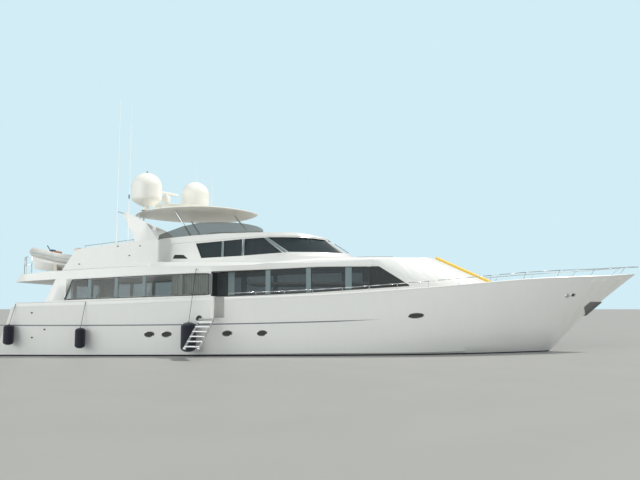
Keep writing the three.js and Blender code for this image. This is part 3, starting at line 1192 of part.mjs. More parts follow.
const TENDER_Y = -1500;
const TENDER_TUBE = 200;
const TENDER_SECTIONS = [
  { x: -12920, half: 30, keel: 4280, chine: 4400, rail: 4500 },
  { x: -12830, half: 90, keel: 3760, chine: 4250, rail: 4470 },
  { x: -12500, half: 260, keel: 3690, chine: 4120, rail: 4420 },
  { x: -12100, half: 400, keel: 3680, chine: 4020, rail: 4330 },
  { x: -11700, half: 480, keel: 3680, chine: 3950, rail: 4220 },
  { x: -11000, half: 520, keel: 3700, chine: 3900, rail: 4080 },
  { x: -8650, half: 560, keel: 3840, chine: 4030, rail: 4080 },
];
const tenderRoute = [
  [-8620, 660, 4130], [-10000, 660, 4130], [-11000, 660, 4150], [-11600, 640, 4240], [-12180, 570, 4370],
  [-12600, 380, 4470], [-12880, 0, 4540],
];
function tenderTube(radius) {
  const route = [...tenderRoute, ...tenderRoute.slice(0, -1).reverse().map(([x, y, z]) => [x, -y, z])];
  return pipe(route.map(([x, y, z]) => [x, y + TENDER_Y, z]), radius, 32, 10);
}
add('tender_tube', RUBBER_GREY, tenderTube(TENDER_TUBE));
// The V-bottomed hull of the tender, its bottom lowered by drop.
function tenderShape(drop) {
  return loftAlong(TENDER_SECTIONS.map((row) => row.x), (x) => {
    const [half, keel, chine, rail] = ['half', 'keel', 'chine', 'rail'].map((column) => (
      at(TENDER_SECTIONS, column, x)));
    return [[TENDER_Y, keel - drop], [TENDER_Y + half, chine - drop], [TENDER_Y + half, rail],
      [TENDER_Y - half, rail], [TENDER_Y - half, chine - drop]];
  });
}
add('tender_hull', WHITE, cut(tenderShape(0), tenderTube(TENDER_TUBE + 1)));
const TENDER_FLOOR_Z = 4080 + GAP;
const CONSOLE_HALF = 300;
add('tender_console', NAVY, join(
  box(-11000, -10700, TENDER_Y - CONSOLE_HALF, TENDER_Y + CONSOLE_HALF, TENDER_FLOOR_Z, 4700),
  box(-10700, -10100, TENDER_Y - CONSOLE_HALF, TENDER_Y + CONSOLE_HALF, TENDER_FLOOR_Z, 4460),
));
add('tender_motor', NAVY, join(
  box(-8649, -8330, TENDER_Y - 180, TENDER_Y + 180, 4300, 4850),
  box(-8560, -8440, TENDER_Y - 60, TENDER_Y + 60, 3860, 4300),
  box(-8650 + GAP, -8560, TENDER_Y - 80, TENDER_Y + 80, 3980, 4110),
));
const CHOCK_TOP_Z = 4000;
for (const [name, x] of [['tender_chock_aft', -11700], ['tender_chock_forward', -9200]]) {
  const block = loftAlong([x - 60, x + 60], (px) => [
    [TENDER_Y - 480, deckTop(px) + GAP], [TENDER_Y + 480, deckTop(px) + GAP], [TENDER_Y + 480, CHOCK_TOP_Z],
    [TENDER_Y - 480, CHOCK_TOP_Z],
  ]);
  add(name, OFF_WHITE, cut(block, tenderShape(GAP), box(x - 100, x + 100, TENDER_Y - 400, TENDER_Y + 400,
    CHOCK_TOP_Z - 40, CHOCK_TOP_Z + 100)));
}

// Ground tackle

function windlass() {
  const foot = at(DECK_SECTIONS, 'deckZ', 11400) + GAP;
  return join(box(11100, 11400, -170, 170, foot, foot + 120), turned([[0, foot + 100], [120, foot + 100],
    [80, foot + 180], [110, foot + 240], [0, foot + 250]], 11250, 0, 14));
}
add('windlass', STAINLESS, windlass());

// The anchor is housed against the stem: a shank that stands up it, and flukes folded back along the hull.
const ANCHOR_FOOT_Z = 1650;
const ANCHOR_HEAD_Z = 2290;
const FLUKE_REACH = 620;
const FLUKE_THICK = 40;
const [STEM_LOW, STEM_HIGH] = HULL_SECTIONS.slice(8, 10);
const stemSlope = (STEM_HIGH.x - STEM_LOW.x) / (STEM_HIGH.keel - STEM_LOW.keel);
const stemX = (z) => STEM_LOW.x + (z - STEM_LOW.keel) * stemSlope;
function anchor() {
  const ahead = (z, distance) => [stemX(z) + distance, z];
  const shank = sidePlate([ahead(ANCHOR_FOOT_Z, -40), ahead(ANCHOR_HEAD_Z, -40), ahead(ANCHOR_HEAD_Z, 90),
    ahead(ANCHOR_FOOT_Z, 90)], -32, 32);
  const flukes = sidePlate([
    ahead(ANCHOR_FOOT_Z, 120), ahead(ANCHOR_HEAD_Z, 120), ahead(ANCHOR_HEAD_Z, -FLUKE_REACH),
    ahead(ANCHOR_HEAD_Z - 250, -FLUKE_REACH),
  ], -FAR_OUT, FAR_OUT);
  return join(shank, flukes.intersect(moved(shell, FLUKE_THICK, 0, 0)));
}
add('anchor', STAINLESS, cut(anchor(), moved(shell, GAP, 0, 0)));

export default yacht;
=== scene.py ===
"""A raised-pilothouse motor yacht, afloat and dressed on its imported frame.

Metres. +X runs to the bow, +Y to port, +Z up; the floor is at the waterline, Z = 0.
Every new piece is a surface worked out from a formula on a grid, and each docstring gives the formula.
"""

import math

import bmesh
import bpy
import numpy as np
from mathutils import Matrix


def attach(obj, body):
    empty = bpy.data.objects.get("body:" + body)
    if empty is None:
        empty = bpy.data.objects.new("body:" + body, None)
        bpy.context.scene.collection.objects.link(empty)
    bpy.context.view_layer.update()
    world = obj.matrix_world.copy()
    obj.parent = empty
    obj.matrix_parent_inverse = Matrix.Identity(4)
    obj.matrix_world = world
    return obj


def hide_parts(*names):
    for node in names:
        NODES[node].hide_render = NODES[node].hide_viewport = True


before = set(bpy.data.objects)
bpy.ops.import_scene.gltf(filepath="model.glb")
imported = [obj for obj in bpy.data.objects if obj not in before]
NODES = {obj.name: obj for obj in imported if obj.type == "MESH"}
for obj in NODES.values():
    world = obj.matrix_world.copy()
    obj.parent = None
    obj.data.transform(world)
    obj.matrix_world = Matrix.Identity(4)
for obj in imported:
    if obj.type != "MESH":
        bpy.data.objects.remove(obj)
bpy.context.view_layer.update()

# Tables of the boat's own sections, aft to forward.

# x, keel z, chine y, chine z, knuckle y, knuckle z, sheer y, sheer z
HULL = np.array([
    [-13.86, -0.90, 2.720, 0.050, 2.880, 1.295, 2.950, 2.050],
    [-10.00, -1.15, 2.890, 0.060, 3.060, 1.295, 3.120, 2.150],
    [-5.00, -1.25, 2.950, 0.080, 3.130, 1.340, 3.200, 2.325],
    [0.00, -1.28, 2.880, 0.120, 3.140, 1.450, 3.250, 2.540],
    [4.00, -1.24, 2.450, 0.120, 2.960, 1.610, 3.130, 2.810],
    [7.00, -1.08, 1.720, 0.160, 2.440, 1.760, 2.760, 3.060],
    [9.00, -0.78, 1.000, 0.240, 1.880, 1.880, 2.350, 3.240],
    [10.65, 0.00, 0.420, 0.500, 1.270, 2.010, 1.850, 3.355],
    [12.00, 1.33, 0.100, 1.480, 0.700, 2.230, 1.350, 3.420],
    [13.20, 2.31, 0.060, 2.390, 0.260, 2.640, 0.850, 3.470],
    [14.15, 3.05, 0.035, 3.090, 0.090, 3.180, 0.400, 3.540],
    [14.83, 3.55, 0.022, 3.562, 0.030, 3.576, 0.045, 3.595],
])
HULL_AFT, HULL_FORWARD = HULL[0, 0], HULL[-1, 0]
# x, deck z, half-breadth of the house on it, as far forward as its windows reach
DECK = np.array([
    [-4.58, 1.61, 2.42], [-3.0, 1.61, 2.42], [0.0, 1.80, 2.42], [2.4, 2.06, 2.32], [4.0, 2.26, 2.15],
])
# x, half-breadth of the upper deck's fascia by the forward fender
FASCIA = np.array([[-5.5, 3.09], [-4.0, 3.04]])
# x, height of the trunk's roof at the side and at the crown
TRUNK_ROOF = np.array([[-2.3, 4.0, 4.02], [0.0, 4.095, 4.26], [2.3, 4.14, 4.33], [8.87, 4.14, 4.33]])
# The bowed nose of the trunk: half an ellipse in plan, NOSE_HALF to each side and forward from NOSE_START.
# At the height NOSE_TOP its front is at NOSE_TIP, and it falls back by NOSE_SLOPE in each metre of height.
NOSE_START, NOSE_HALF, NOSE_TIP, NOSE_TOP, NOSE_SLOPE = 0.35, 2.48, 5.77, 4.15, 2.26
# z, half-width, x of the bowed front of the pilothouse
PILOTHOUSE = np.array([
    [3.98, 2.35, 2.28], [4.29, 2.33, 2.22], [4.42, 2.31, 1.56], [5.12, 2.20, 0.52], [5.42, 2.14, 0.08],
])
PILOTHOUSE_BOW_START = -2.3
# The side gateways in the hull: their aft and forward edges and the height of their sill
GATE_AFT, GATE_FORWARD, GATE_SILL = -4.53, -4.03, 1.61
# What a point is multiplied by to mirror it across the centreline
OTHER_SIDE = np.array([1.0, -1.0, 1.0])


def at(table, column, x):
    """Straight-line value of one column of a table at every x."""
    return np.interp(x, table[:, 0], table[:, column])


def ramp(x, start, end):
    """0 at start and before it, 1 at end and beyond it, straight between them."""
    return np.clip((x - start) / (end - start), 0, 1)


def signed_power(value, exponent):
    """The size of value to a power, with value's own sign: it squares up a cosine or a sine."""
    return np.sign(value) * np.abs(value) ** exponent


def angles(parts):
    """That many angles, evenly round a full turn."""
    return np.linspace(0, 2 * np.pi, parts, endpoint=False)


def xyz(x, y, z):
    """Points from their coordinates, each of which is spread over the shape that all of them share."""
    return np.stack(np.broadcast_arrays(x, y, z), axis=-1)


def cubic(t, first, last, leaving, arriving):
    """The cubic in t that runs from first at 0 to last at 1, with those slopes at its ends."""
    return ((2 * t**3 - 3 * t**2 + 1) * first + (3 * t**2 - 2 * t**3) * last
            + (t**3 - 2 * t**2 + t) * leaving + (t**3 - t**2) * arriving)


def faired(x):
    """Hull columns at every x, on cubics whose slope at a row is that of its neighbours' chord."""
    rows, values = HULL[:, 0], HULL[:, 1:]
    low, high = np.maximum(np.arange(len(rows)) - 1, 0), np.minimum(np.arange(len(rows)) + 1, len(rows) - 1)
    slope = (values[high] - values[low]) / (rows[high] - rows[low])[:, None]
    i = np.clip(np.searchsorted(rows, x, side="right") - 1, 0, len(rows) - 2)
    span = (rows[i + 1] - rows[i])[:, None]
    t = ((x - rows[i])[:, None] / span).clip(0, 1)
    return cubic(t, values[i], values[i + 1], span * slope[i], span * slope[i + 1])


def sheer(x):
    """Half-breadth of the hull's top edge at every x."""
    return faired(np.atleast_1d(x))[:, 5]


# Shader groups shared by the materials


def rgb(red, green, blue):
    return (red, green, blue, 1.0)


class Graph:
    """A node tree under construction; a value given to an input may be a number, a colour or a socket."""

    def __init__(self, tree):
        self.tree = tree

    def feed(self, node, values):
        for key, value in values.items():
            if isinstance(value, bpy.types.NodeSocket):
                self.tree.links.new(value, node.inputs[key])
            else:
                node.inputs[key].default_value = value

    def add(self, kind, inputs=None, **settings):
        node = self.tree.nodes.new(kind)
        for key, value in settings.items():
            setattr(node, key, value)
        self.feed(node, inputs or {})
        return node

    def use(self, tree, **inputs):
        """The outputs of a shader group placed here with its own values."""
        return self.add("ShaderNodeGroup", inputs, node_tree=tree).outputs

    def maths(self, operation, first, second=0.0, third=0.0):
        return self.add("ShaderNodeMath", {0: first, 1: second, 2: third}, operation=operation).outputs[0]

    def mix(self, factor, first, second):
        """A colour from first to second. The node has its factor at 0 and its two colours at 6 and 7."""
        return self.add("ShaderNodeMix", {0: factor, 6: first, 7: second}, data_type="RGBA").outputs[2]

    def place(self, stretch=(1.0, 1.0, 1.0)):
        """Object coordinates times stretch."""
        coordinates = self.add("ShaderNodeTexCoord").outputs["Object"]
        return self.add("ShaderNodeMapping", {"Vector": coordinates, "Scale": stretch}).outputs[0]

    def noise(self, scale, detail, stretch=(1.0, 1.0, 1.0)):
        inputs = {"Vector": self.place(stretch), "Scale": scale, "Detail": detail}
        return self.add("ShaderNodeTexNoise", inputs).outputs[0]

    def axes(self, vector):
        return self.add("ShaderNodeSeparateXYZ", {"Vector": vector}).outputs

    def crossed_waves(self, first, second, spacing):
        """The product of two sine waves, one along each of two lengths, that repeat every spacing."""
        turn = self.maths("DIVIDE", 2 * math.pi, spacing)
        waves = [self.maths("SINE", self.maths("MULTIPLY", length, turn)) for length in (first, second)]
        return self.maths("MULTIPLY", *waves)

    def shaded(self, tone, value):
        """A colour with its brightness multiplied by value."""
        return self.add("ShaderNodeHueSaturation", {"Color": tone, "Value": value}).outputs[0]

    def bump(self, height, distance, strength):
        inputs = {"Height": height, "Distance": distance, "Strength": strength}
        return self.add("ShaderNodeBump", inputs).outputs[0]


def shader_group(name, outputs, **inputs):
    """(tree, graph, inputs, output node) of a new shader group. Each input has a default, a colour or a
    number. The output Color is a colour and every other one a number."""
    tree = bpy.data.node_groups.new(name, "ShaderNodeTree")
    for label, default in inputs.items():
        kind = "NodeSocketColor" if isinstance(default, tuple) else "NodeSocketFloat"
        tree.interface.new_socket(label, in_out="INPUT", socket_type=kind).default_value = default
    for label in outputs:
        kind = "NodeSocketColor" if label == "Color" else "NodeSocketFloat"
        tree.interface.new_socket(label, in_out="OUTPUT", socket_type=kind)
    graph = Graph(tree)
    return tree, graph, graph.add("NodeGroupInput").outputs, graph.add("NodeGroupOutput")


def make_wear():
    """Weathering. A slow noise times one drawn out down the side, times the amount, mixes soil into the
    tone. A fine noise varies the roughness, and the slow one is the height."""
    tree, g, source, sink = shader_group(
        "weathering", ("Color", "Roughness", "Height"),
        Tone=rgb(0.8, 0.8, 0.8), Soil=rgb(0.5, 0.46, 0.38), Amount=0.1, Roughness=0.3)
    roughness_spread = 0.1
    drift = g.noise(scale=0.6, detail=4.0)
    streak = g.noise(scale=1.0, detail=3.0, stretch=(5.0, 5.0, 0.5))
    fine = g.noise(scale=40.0, detail=2.0)
    soiled = g.maths("MULTIPLY", g.maths("MULTIPLY", drift, streak), source["Amount"])
    g.feed(sink, {"Color": g.mix(soiled, source["Tone"], source["Soil"]),
                  "Roughness": g.maths("MULTIPLY_ADD", fine, roughness_spread, source["Roughness"]),
                  "Height": drift})
    return tree


def make_planks():
    """Planks along X. The fractional part of Y over the plank's width gives the seam, its whole part the
    plank's own tone, to which a noise drawn out along X adds grain."""
    tree, g, source, sink = shader_group(
        "laid_planks", ("Color", "Height"),
        Tone=rgb(0.4, 0.27, 0.15), Caulk=rgb(0.02, 0.02, 0.02), Width=0.06)
    seam_share, tone_spread, darkest = 0.1, 0.25, 0.62
    across = g.maths("DIVIDE", g.axes(g.place())["Y"], source["Width"])
    seam = g.maths("LESS_THAN", g.maths("FRACT", across), seam_share)
    plank = g.maths("FLOOR", across)
    tone = g.add("ShaderNodeTexWhiteNoise", {"W": plank}, noise_dimensions="1D").outputs[0]
    grain = g.noise(scale=1.0, detail=4.0, stretch=(3.0, 60.0, 60.0))
    shade = g.maths("MULTIPLY_ADD", g.maths("ADD", tone, grain), tone_spread, darkest)
    g.feed(sink, {"Color": g.mix(seam, g.shaded(source["Tone"], shade), source["Caulk"]),
                  "Height": g.maths("SUBTRACT", 1.0, seam)})
    return tree


def make_weave():
    """A plain weave: the product of two sine waves across each other, over a slow clouding of the tone."""
    tree, g, source, sink = shader_group(
        "plain_weave", ("Color", "Height"), Tone=rgb(0.5, 0.5, 0.5), Spacing=0.01)
    thread_spread, cloud_spread, darkest = 0.12, 0.4, 0.8
    axes = g.axes(g.place())
    wave = g.crossed_waves(g.maths("ADD", axes["X"], axes["Y"]), axes["Z"], source["Spacing"])
    cloud = g.maths("MULTIPLY_ADD", g.noise(scale=3.0, detail=3.0), cloud_spread, darkest)
    shade = g.maths("MULTIPLY_ADD", wave, thread_spread, cloud)
    g.feed(sink, {"Color": g.shaded(source["Tone"], shade), "Height": wave})
    return tree


def make_grip():
    """Moulded deck grip: a fine diamond of two crossing sine waves, kept to faces that look up."""
    tree, g, source, sink = shader_group("deck_grip", ("Mask", "Height"), Spacing=0.02)
    least_upward = 0.9
    axes = g.axes(g.place())
    diamond = g.crossed_waves(g.maths("ADD", axes["X"], axes["Y"]),
                              g.maths("SUBTRACT", axes["X"], axes["Y"]), source["Spacing"])
    normal = g.add("ShaderNodeNewGeometry").outputs["Normal"]
    up = g.maths("GREATER_THAN", g.axes(normal)["Z"], least_upward)
    g.feed(sink, {"Mask": up, "Height": g.maths("MULTIPLY", diamond, up)})
    return tree


WEAR, PLANKS, WEAVE, GRIP = make_wear(), make_planks(), make_weave(), make_grip()

# Materials

# GLASS_DRIFT_TONE is the lighter warm grey that the glass's tint drifts towards in slow patches
SOIL, GLASS_DRIFT_TONE = rgb(0.50, 0.45, 0.36), rgb(0.18, 0.18, 0.16)
GRIP_TONE, CAULK = rgb(0.60, 0.58, 0.53), rgb(0.02, 0.02, 0.02)
BOTTOM_BLUE, BOOT_LINE = rgb(0.02, 0.03, 0.06), 0.05


def new_material(name):
    """(material, graph, shader), with the shader joined to the material's output."""
    material = bpy.data.materials.new(name)
    material.use_nodes = True
    material.node_tree.nodes.clear()
    graph = Graph(material.node_tree)
    shader = graph.add("ShaderNodeBsdfPrincipled")
    graph.add("ShaderNodeOutputMaterial", {"Surface": shader.outputs[0]})
    return material, graph, shader


def painted(name, tone, roughness=0.22, amount=0.12, coat=0.3, grip=False, bottom=False):
    """Painted or moulded gloss surface. grip adds the deck pattern to faces that look up; bottom paints
    everything below the boot line with antifouling."""
    material, g, shader = new_material(name)
    wear = g.use(WEAR, Tone=tone, Soil=SOIL, Amount=amount, Roughness=roughness)
    grip_share, matt = 0.5, 0.4
    color, rough, height, depth = wear["Color"], wear["Roughness"], wear["Height"], 0.004
    if grip:
        pattern = g.use(GRIP, Spacing=0.03)
        color = g.mix(g.maths("MULTIPLY", pattern["Mask"], grip_share), color, GRIP_TONE)
        rough = g.maths("MULTIPLY_ADD", pattern["Mask"], matt, rough)
        height, depth = pattern["Height"], 0.0015
    if bottom:
        below = g.maths("LESS_THAN", g.axes(g.place())["Z"], BOOT_LINE)
        color = g.mix(below, color, BOTTOM_BLUE)
        rough = g.maths("MULTIPLY_ADD", below, matt, rough)
    g.feed(shader, {"Base Color": color, "Roughness": rough, "Normal": g.bump(height, depth, 0.3),
                    "Coat Weight": coat, "Coat Roughness": 0.08, "IOR": 1.5})
    return material


def metal(name, tone, roughness, grain=(60.0, 60.0, 3.0)):
    """Metal whose fine lines are noise stretched along one way."""
    material, g, shader = new_material(name)
    tone_spread, darkest, roughness_spread = 0.3, 0.85, 0.2
    lines = g.noise(scale=1.0, detail=4.0, stretch=grain)
    color = g.shaded(tone, g.maths("MULTIPLY_ADD", lines, tone_spread, darkest))
    rough = g.maths("MULTIPLY_ADD", lines, roughness_spread, roughness - roughness_spread / 2)
    g.feed(shader, {"Base Color": color, "Roughness": rough, "Metallic": 1.0,
                    "Normal": g.bump(lines, 0.0005, 0.3)})
    return material


def cloth(name, tone, spacing, roughness=0.85, sheen=0.3):
    """Woven cloth or textured vinyl, its threads that far apart."""
    material, g, shader = new_material(name)
    weave = g.use(WEAVE, Tone=tone, Spacing=spacing)
    g.feed(shader, {"Base Color": weave["Color"], "Roughness": roughness,
                    "Normal": g.bump(weave["Height"], 0.002, 0.6), "Sheen Weight": sheen})
    return material


def glazing(name, tone, alpha):
    """Tinted sheet: the tint drifts slowly along the sheet, and the surface ripples very slightly."""
    material, g, shader = new_material(name)
    polish = 0.03
    wear = g.use(WEAR, Tone=tone, Soil=GLASS_DRIFT_TONE, Amount=0.35, Roughness=polish)
    ripple = g.noise(scale=1.3, detail=1.0)
    g.feed(shader, {"Base Color": wear["Color"], "Roughness": polish, "Alpha": alpha, "IOR": 1.52,
                    "Normal": g.bump(ripple, 0.01, 0.15)})
    return material


def planked(name, tone, width):
    """Planks of that width, laid fore and aft with caulked seams."""
    material, g, shader = new_material(name)
    laid = g.use(PLANKS, Tone=tone, Caulk=CAULK, Width=width)
    g.feed(shader, {"Base Color": laid["Color"], "Roughness": 0.6,
                    "Normal": g.bump(laid["Height"], 0.002, 0.5)})
    return material


WHITE = painted("white_gelcoat", rgb(0.91, 0.91, 0.89))
HULL_WHITE = painted("hull_gelcoat", rgb(0.86, 0.86, 0.845), roughness=0.18, amount=0.16, coat=0.5,
                     bottom=True)
# Deck gelcoat: its grip is real, but its tone is brighter than the hull's gelcoat as painted light,
# standing in for the stronger light on the upper parts
LIT_DECK_WHITE = painted("lit_deck_gelcoat", rgb(0.92, 0.92, 0.90), grip=True)
DECKED_HULL = painted("decked_gelcoat", rgb(0.84, 0.84, 0.81), grip=True, bottom=True)
CREAM = painted("cream_moulding", rgb(0.76, 0.73, 0.66), roughness=0.35, amount=0.15, coat=0.1)
SOFT_WHITE = painted("soft_white_moulding", rgb(0.93, 0.92, 0.85), roughness=0.3, amount=0.08, coat=0.2)
RADOME = painted("radome_white", rgb(0.94, 0.93, 0.87), roughness=0.4, amount=0.15, coat=0.05)
STRIPE = painted("stripe_blue_grey", rgb(0.17, 0.19, 0.23), roughness=0.3, amount=0.2)
MULLION = painted("mullion_grey", rgb(0.20, 0.27, 0.29), roughness=0.4, amount=0.15, coat=0.1)
# A grey of painted shade: the curtain's dimmed look through the glass, put on the covers of the posts in
# that band
CURTAIN_SHADE_GREY = painted("curtain_shade_grey", rgb(0.17, 0.19, 0.18), roughness=0.4, amount=0.15, coat=0.1)
BAND_GREY = painted("tube_band_grey", rgb(0.50, 0.55, 0.56), roughness=0.5, amount=0.2, coat=0.0)
GASKET = painted("black_gasket", rgb(0.015, 0.017, 0.018), roughness=0.5, amount=0.2, coat=0.0)
COWL = painted("black_cowl", rgb(0.02, 0.02, 0.025), roughness=0.25, amount=0.2)
ANTIFOULING = painted("bottom_paint", BOTTOM_BLUE, roughness=0.7, amount=0.5, coat=0.0)
YELLOW = painted("yellow_strip", rgb(0.85, 0.58, 0.06), roughness=0.5, amount=0.2, coat=0.0)
STAINLESS = metal("polished_stainless", rgb(0.66, 0.67, 0.68), 0.22)
ALUMINIUM = metal("mill_aluminium", rgb(0.62, 0.63, 0.64), 0.42)
BRONZE = metal("cast_bronze", rgb(0.50, 0.34, 0.16), 0.4, (8.0, 8.0, 8.0))
DARK_STEEL = metal("darkened_plate", rgb(0.20, 0.20, 0.20), 0.4)
GLASS = glazing("tinted_glass", rgb(0.085, 0.10, 0.095), 0.37)
CABIN_GLASS = glazing("cabin_glass", rgb(0.06, 0.075, 0.085), 0.52)
DARK_GLASS = glazing("wheelhouse_glass", rgb(0.030, 0.046, 0.056), 0.80)
BLIND_GLASS = glazing("blind_glass", rgb(0.03, 0.035, 0.035), 1.0)
SMOKED = glazing("smoked_sheet", rgb(0.16, 0.165, 0.15), 0.56)
TEAK = planked("laid_teak", rgb(0.46, 0.31, 0.18), 0.06)
FENDER_KNIT = cloth("navy_knit", rgb(0.010, 0.012, 0.024), 0.02)
CURTAIN = cloth("curtain_cloth", rgb(0.95, 0.99, 0.95), 0.012)
TUBE_CLOTH = cloth("tube_cloth", rgb(0.66, 0.66, 0.63), 0.01, roughness=0.5, sheen=0.05)
BLUE_VINYL = cloth("blue_vinyl", rgb(0.03, 0.06, 0.16), 0.008, roughness=0.5, sheen=0.05)
RUST_VINYL = cloth("rust_vinyl", rgb(0.36, 0.17, 0.09), 0.008, roughness=0.6, sheen=0.05)
CREAM_VINYL = cloth("cream_vinyl", rgb(0.66, 0.63, 0.56), 0.008, roughness=0.5, sheen=0.05)

# Making pieces


def grid(points, closed_rows=False, closed_columns=False):
    """(vertices, quads) of a grid of points [rows, columns, 3], each quad going round its four corners."""
    rows, columns = points.shape[:2]
    i = np.arange(rows if closed_rows else rows - 1)[:, None]
    j = np.arange(columns if closed_columns else columns - 1)[None, :]
    ahead, over = (i + 1) % rows, (j + 1) % columns
    corners = [i * columns + j, ahead * columns + j, ahead * columns + over, i * columns + over]
    return points.reshape(-1, 3), np.stack(corners, axis=-1).reshape(-1, 4)


def gathered(parts):
    """Several (vertices, quads) as one."""
    starts = np.cumsum([0] + [len(vertices) for vertices, _ in parts[:-1]])
    return (np.concatenate([vertices for vertices, _ in parts]),
            np.concatenate([quads + start for (_, quads), start in zip(parts, starts)]))


def mirrored(part):
    """The same part on the other side of the centreline, its faces turned to point out again."""
    vertices, quads = part
    return vertices * OTHER_SIDE, quads[:, ::-1]


def both(*parts):
    """The parts of one side, with their mirror images on the other."""
    side = gathered(parts)
    return gathered([side, mirrored(side)])


def merge(mesh, angle, outward=False, flat=False):
    """Merges doubles, and shades smooth except where faces turn by more than angle degrees. outward turns
    the faces out; flat joins the faces that lie in one plane."""
    shape = bmesh.new()
    shape.from_mesh(mesh)
    bmesh.ops.remove_doubles(shape, verts=shape.verts, dist=1e-5)
    if outward:
        bmesh.ops.recalc_face_normals(shape, faces=shape.faces)
    if flat:
        bmesh.ops.dissolve_limit(shape, angle_limit=math.radians(0.5), verts=shape.verts, edges=shape.edges)
    shape.to_mesh(mesh)
    shape.free()
    mesh.shade_smooth()
    mesh.set_sharp_from_angle(angle=math.radians(angle))


def placed(name, data):
    """A new object in the scene."""
    item = bpy.data.objects.new(name, data)
    bpy.context.scene.collection.objects.link(item)
    return item


def finished(name, mesh, material, body, replaces):
    """The mesh as an object in its material, riding its body, with the nodes that it replaces hidden."""
    mesh.materials.clear()
    mesh.materials.append(material)
    item = placed(name, mesh)
    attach(item, body)
    if replaces:
        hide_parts(*replaces)
    return item


def piece(name, part, material, body="yacht", replaces=(), angle=35.0, outward=True):
    """A new object made of one part, smooth except where faces turn by more than angle."""
    vertices, quads = part
    mesh = bpy.data.meshes.new(name)
    mesh.from_pydata(vertices.tolist(), [], quads.tolist())
    merge(mesh, angle, outward=outward)
    return finished(name, mesh, material, body, replaces)


def softened(node, material, body="yacht", angle=32.0, edge=0.0):
    """A merged copy of a node's shape, smooth over its facets, its corners rounded by edge."""
    mesh = NODES[node].data.copy()
    merge(mesh, angle, flat=True)
    item = finished(f"{node}_finish", mesh, material, body, (node,))
    if edge:
        bevel = item.modifiers.new("rounded_corners", "BEVEL")
        bevel.width, bevel.segments, bevel.limit_method = edge, 2, "ANGLE"
        bevel.angle_limit = math.radians(angle)
        bevel.harden_normals = True


def tube(path, radius, sides, closed=False):
    """A ring carried along a path. At each point the ring lies across the path's direction; radius may
    change along it. The ends are closed by a ring of no radius."""
    path = np.asarray(path, float)
    radius = np.broadcast_to(radius, len(path))
    if not closed:
        path = np.concatenate([path[:1], path, path[-1:]])
        radius = np.concatenate([[0.0], radius, [0.0]])
    ahead = np.roll(path, -1, axis=0) - np.roll(path, 1, axis=0)
    if not closed:
        ahead[0] = ahead[1] = path[2] - path[1]
        ahead[-1] = ahead[-2] = path[-2] - path[-3]
    ahead /= np.linalg.norm(ahead, axis=1, keepdims=True)
    steep = np.abs(ahead[:, 2:3]) > 0.9
    guide = np.where(steep, np.array([[1.0, 0.0, 0.0]]), np.array([[0.0, 0.0, 1.0]]))
    across = np.cross(ahead, guide)
    across /= np.linalg.norm(across, axis=1, keepdims=True)
    up = np.cross(across, ahead)
    turn = angles(sides)[None, :, None]
    ring = across[:, None] * np.cos(turn) + up[:, None] * np.sin(turn)
    return grid(path[:, None] + ring * radius[:, None, None], closed, True)


def turned(profile, centre, sides):
    """A profile of (radius, height) spun round an upright axis through centre."""
    radius, height = np.asarray(profile, float).T[:, :, None]
    turn = angles(sides)
    points = xyz(radius * np.cos(turn), radius * np.sin(turn), height)
    return grid(points + np.asarray(centre, float), False, True)


def block(centre, half, squareness, parts, turn=0.0):
    """A rounded block: a superellipsoid, each half-length times a signed power of cosines and sines,
    turned about the upright axis. The lower its squareness, the squarer it is."""
    u, v = np.linspace(-np.pi / 2, np.pi / 2, parts + 1)[:, None], angles(2 * parts)
    level, rise = signed_power(np.cos(u), squareness), signed_power(np.sin(u), squareness)
    ahead, aside = signed_power(np.cos(v), squareness), signed_power(np.sin(v), squareness)
    points = xyz(level * ahead, level * aside, rise) * np.asarray(half, float)
    spin = np.array([[math.cos(turn), math.sin(turn), 0], [-math.sin(turn), math.cos(turn), 0], [0, 0, 1]])
    return grid(points @ spin + np.asarray(centre, float), False, True)


def smooth_path(points, parts):
    """A curve through points: on each span the cubic whose end slopes are those of the neighbouring
    chords, in that many parts."""
    points = np.asarray(points, float)
    slope = np.gradient(points, axis=0)
    t = np.linspace(0, 1, parts, endpoint=False)[None, :, None]
    curve = cubic(t, points[:-1, None], points[1:, None], slope[:-1, None], slope[1:, None])
    return np.concatenate([curve.reshape(-1, 3), points[-1:]])


# Hull

SKIN_PROUD = 0.006
# The topsides begin to flare at FLARE_START and are fully flared from FLARE_FULL to FLARE_FADE
FLARE_START, FLARE_FULL, FLARE_FADE, FLARE_END = 2.0, 5.0, 11.0, 12.2
# Above TRANSOM_FOOT the transom leans forward by TRANSOM_RAKE in each metre, and the stations ahead of it
# lean less and less, up to LEAN_START
LEAN_START, TRANSOM_RAKE, TRANSOM_FOOT = -13.088, 0.41, 0.05


def flared(x, z, straight, columns):
    """Half-breadth above the chine: straight aft of the flare, then blended into the parabola in height
    that passes through chine, knuckle and sheer, and back again to straight at the stem."""
    _, chine_y, chine_z, knuckle_y, knuckle_z, sheer_y, sheer_z = columns
    from_chine, from_knuckle, from_sheer = z - chine_z, z - knuckle_z, z - sheer_z
    low, high, whole = knuckle_z - chine_z, sheer_z - knuckle_z, sheer_z - chine_z
    parabola = (chine_y * from_knuckle * from_sheer / (low * whole)
                - knuckle_y * from_chine * from_sheer / (low * high)
                + sheer_y * from_chine * from_knuckle / (whole * high))
    share = ramp(x, FLARE_START, FLARE_FULL) * ramp(x, FLARE_END, FLARE_FADE)
    return straight + (parabola - straight) * share


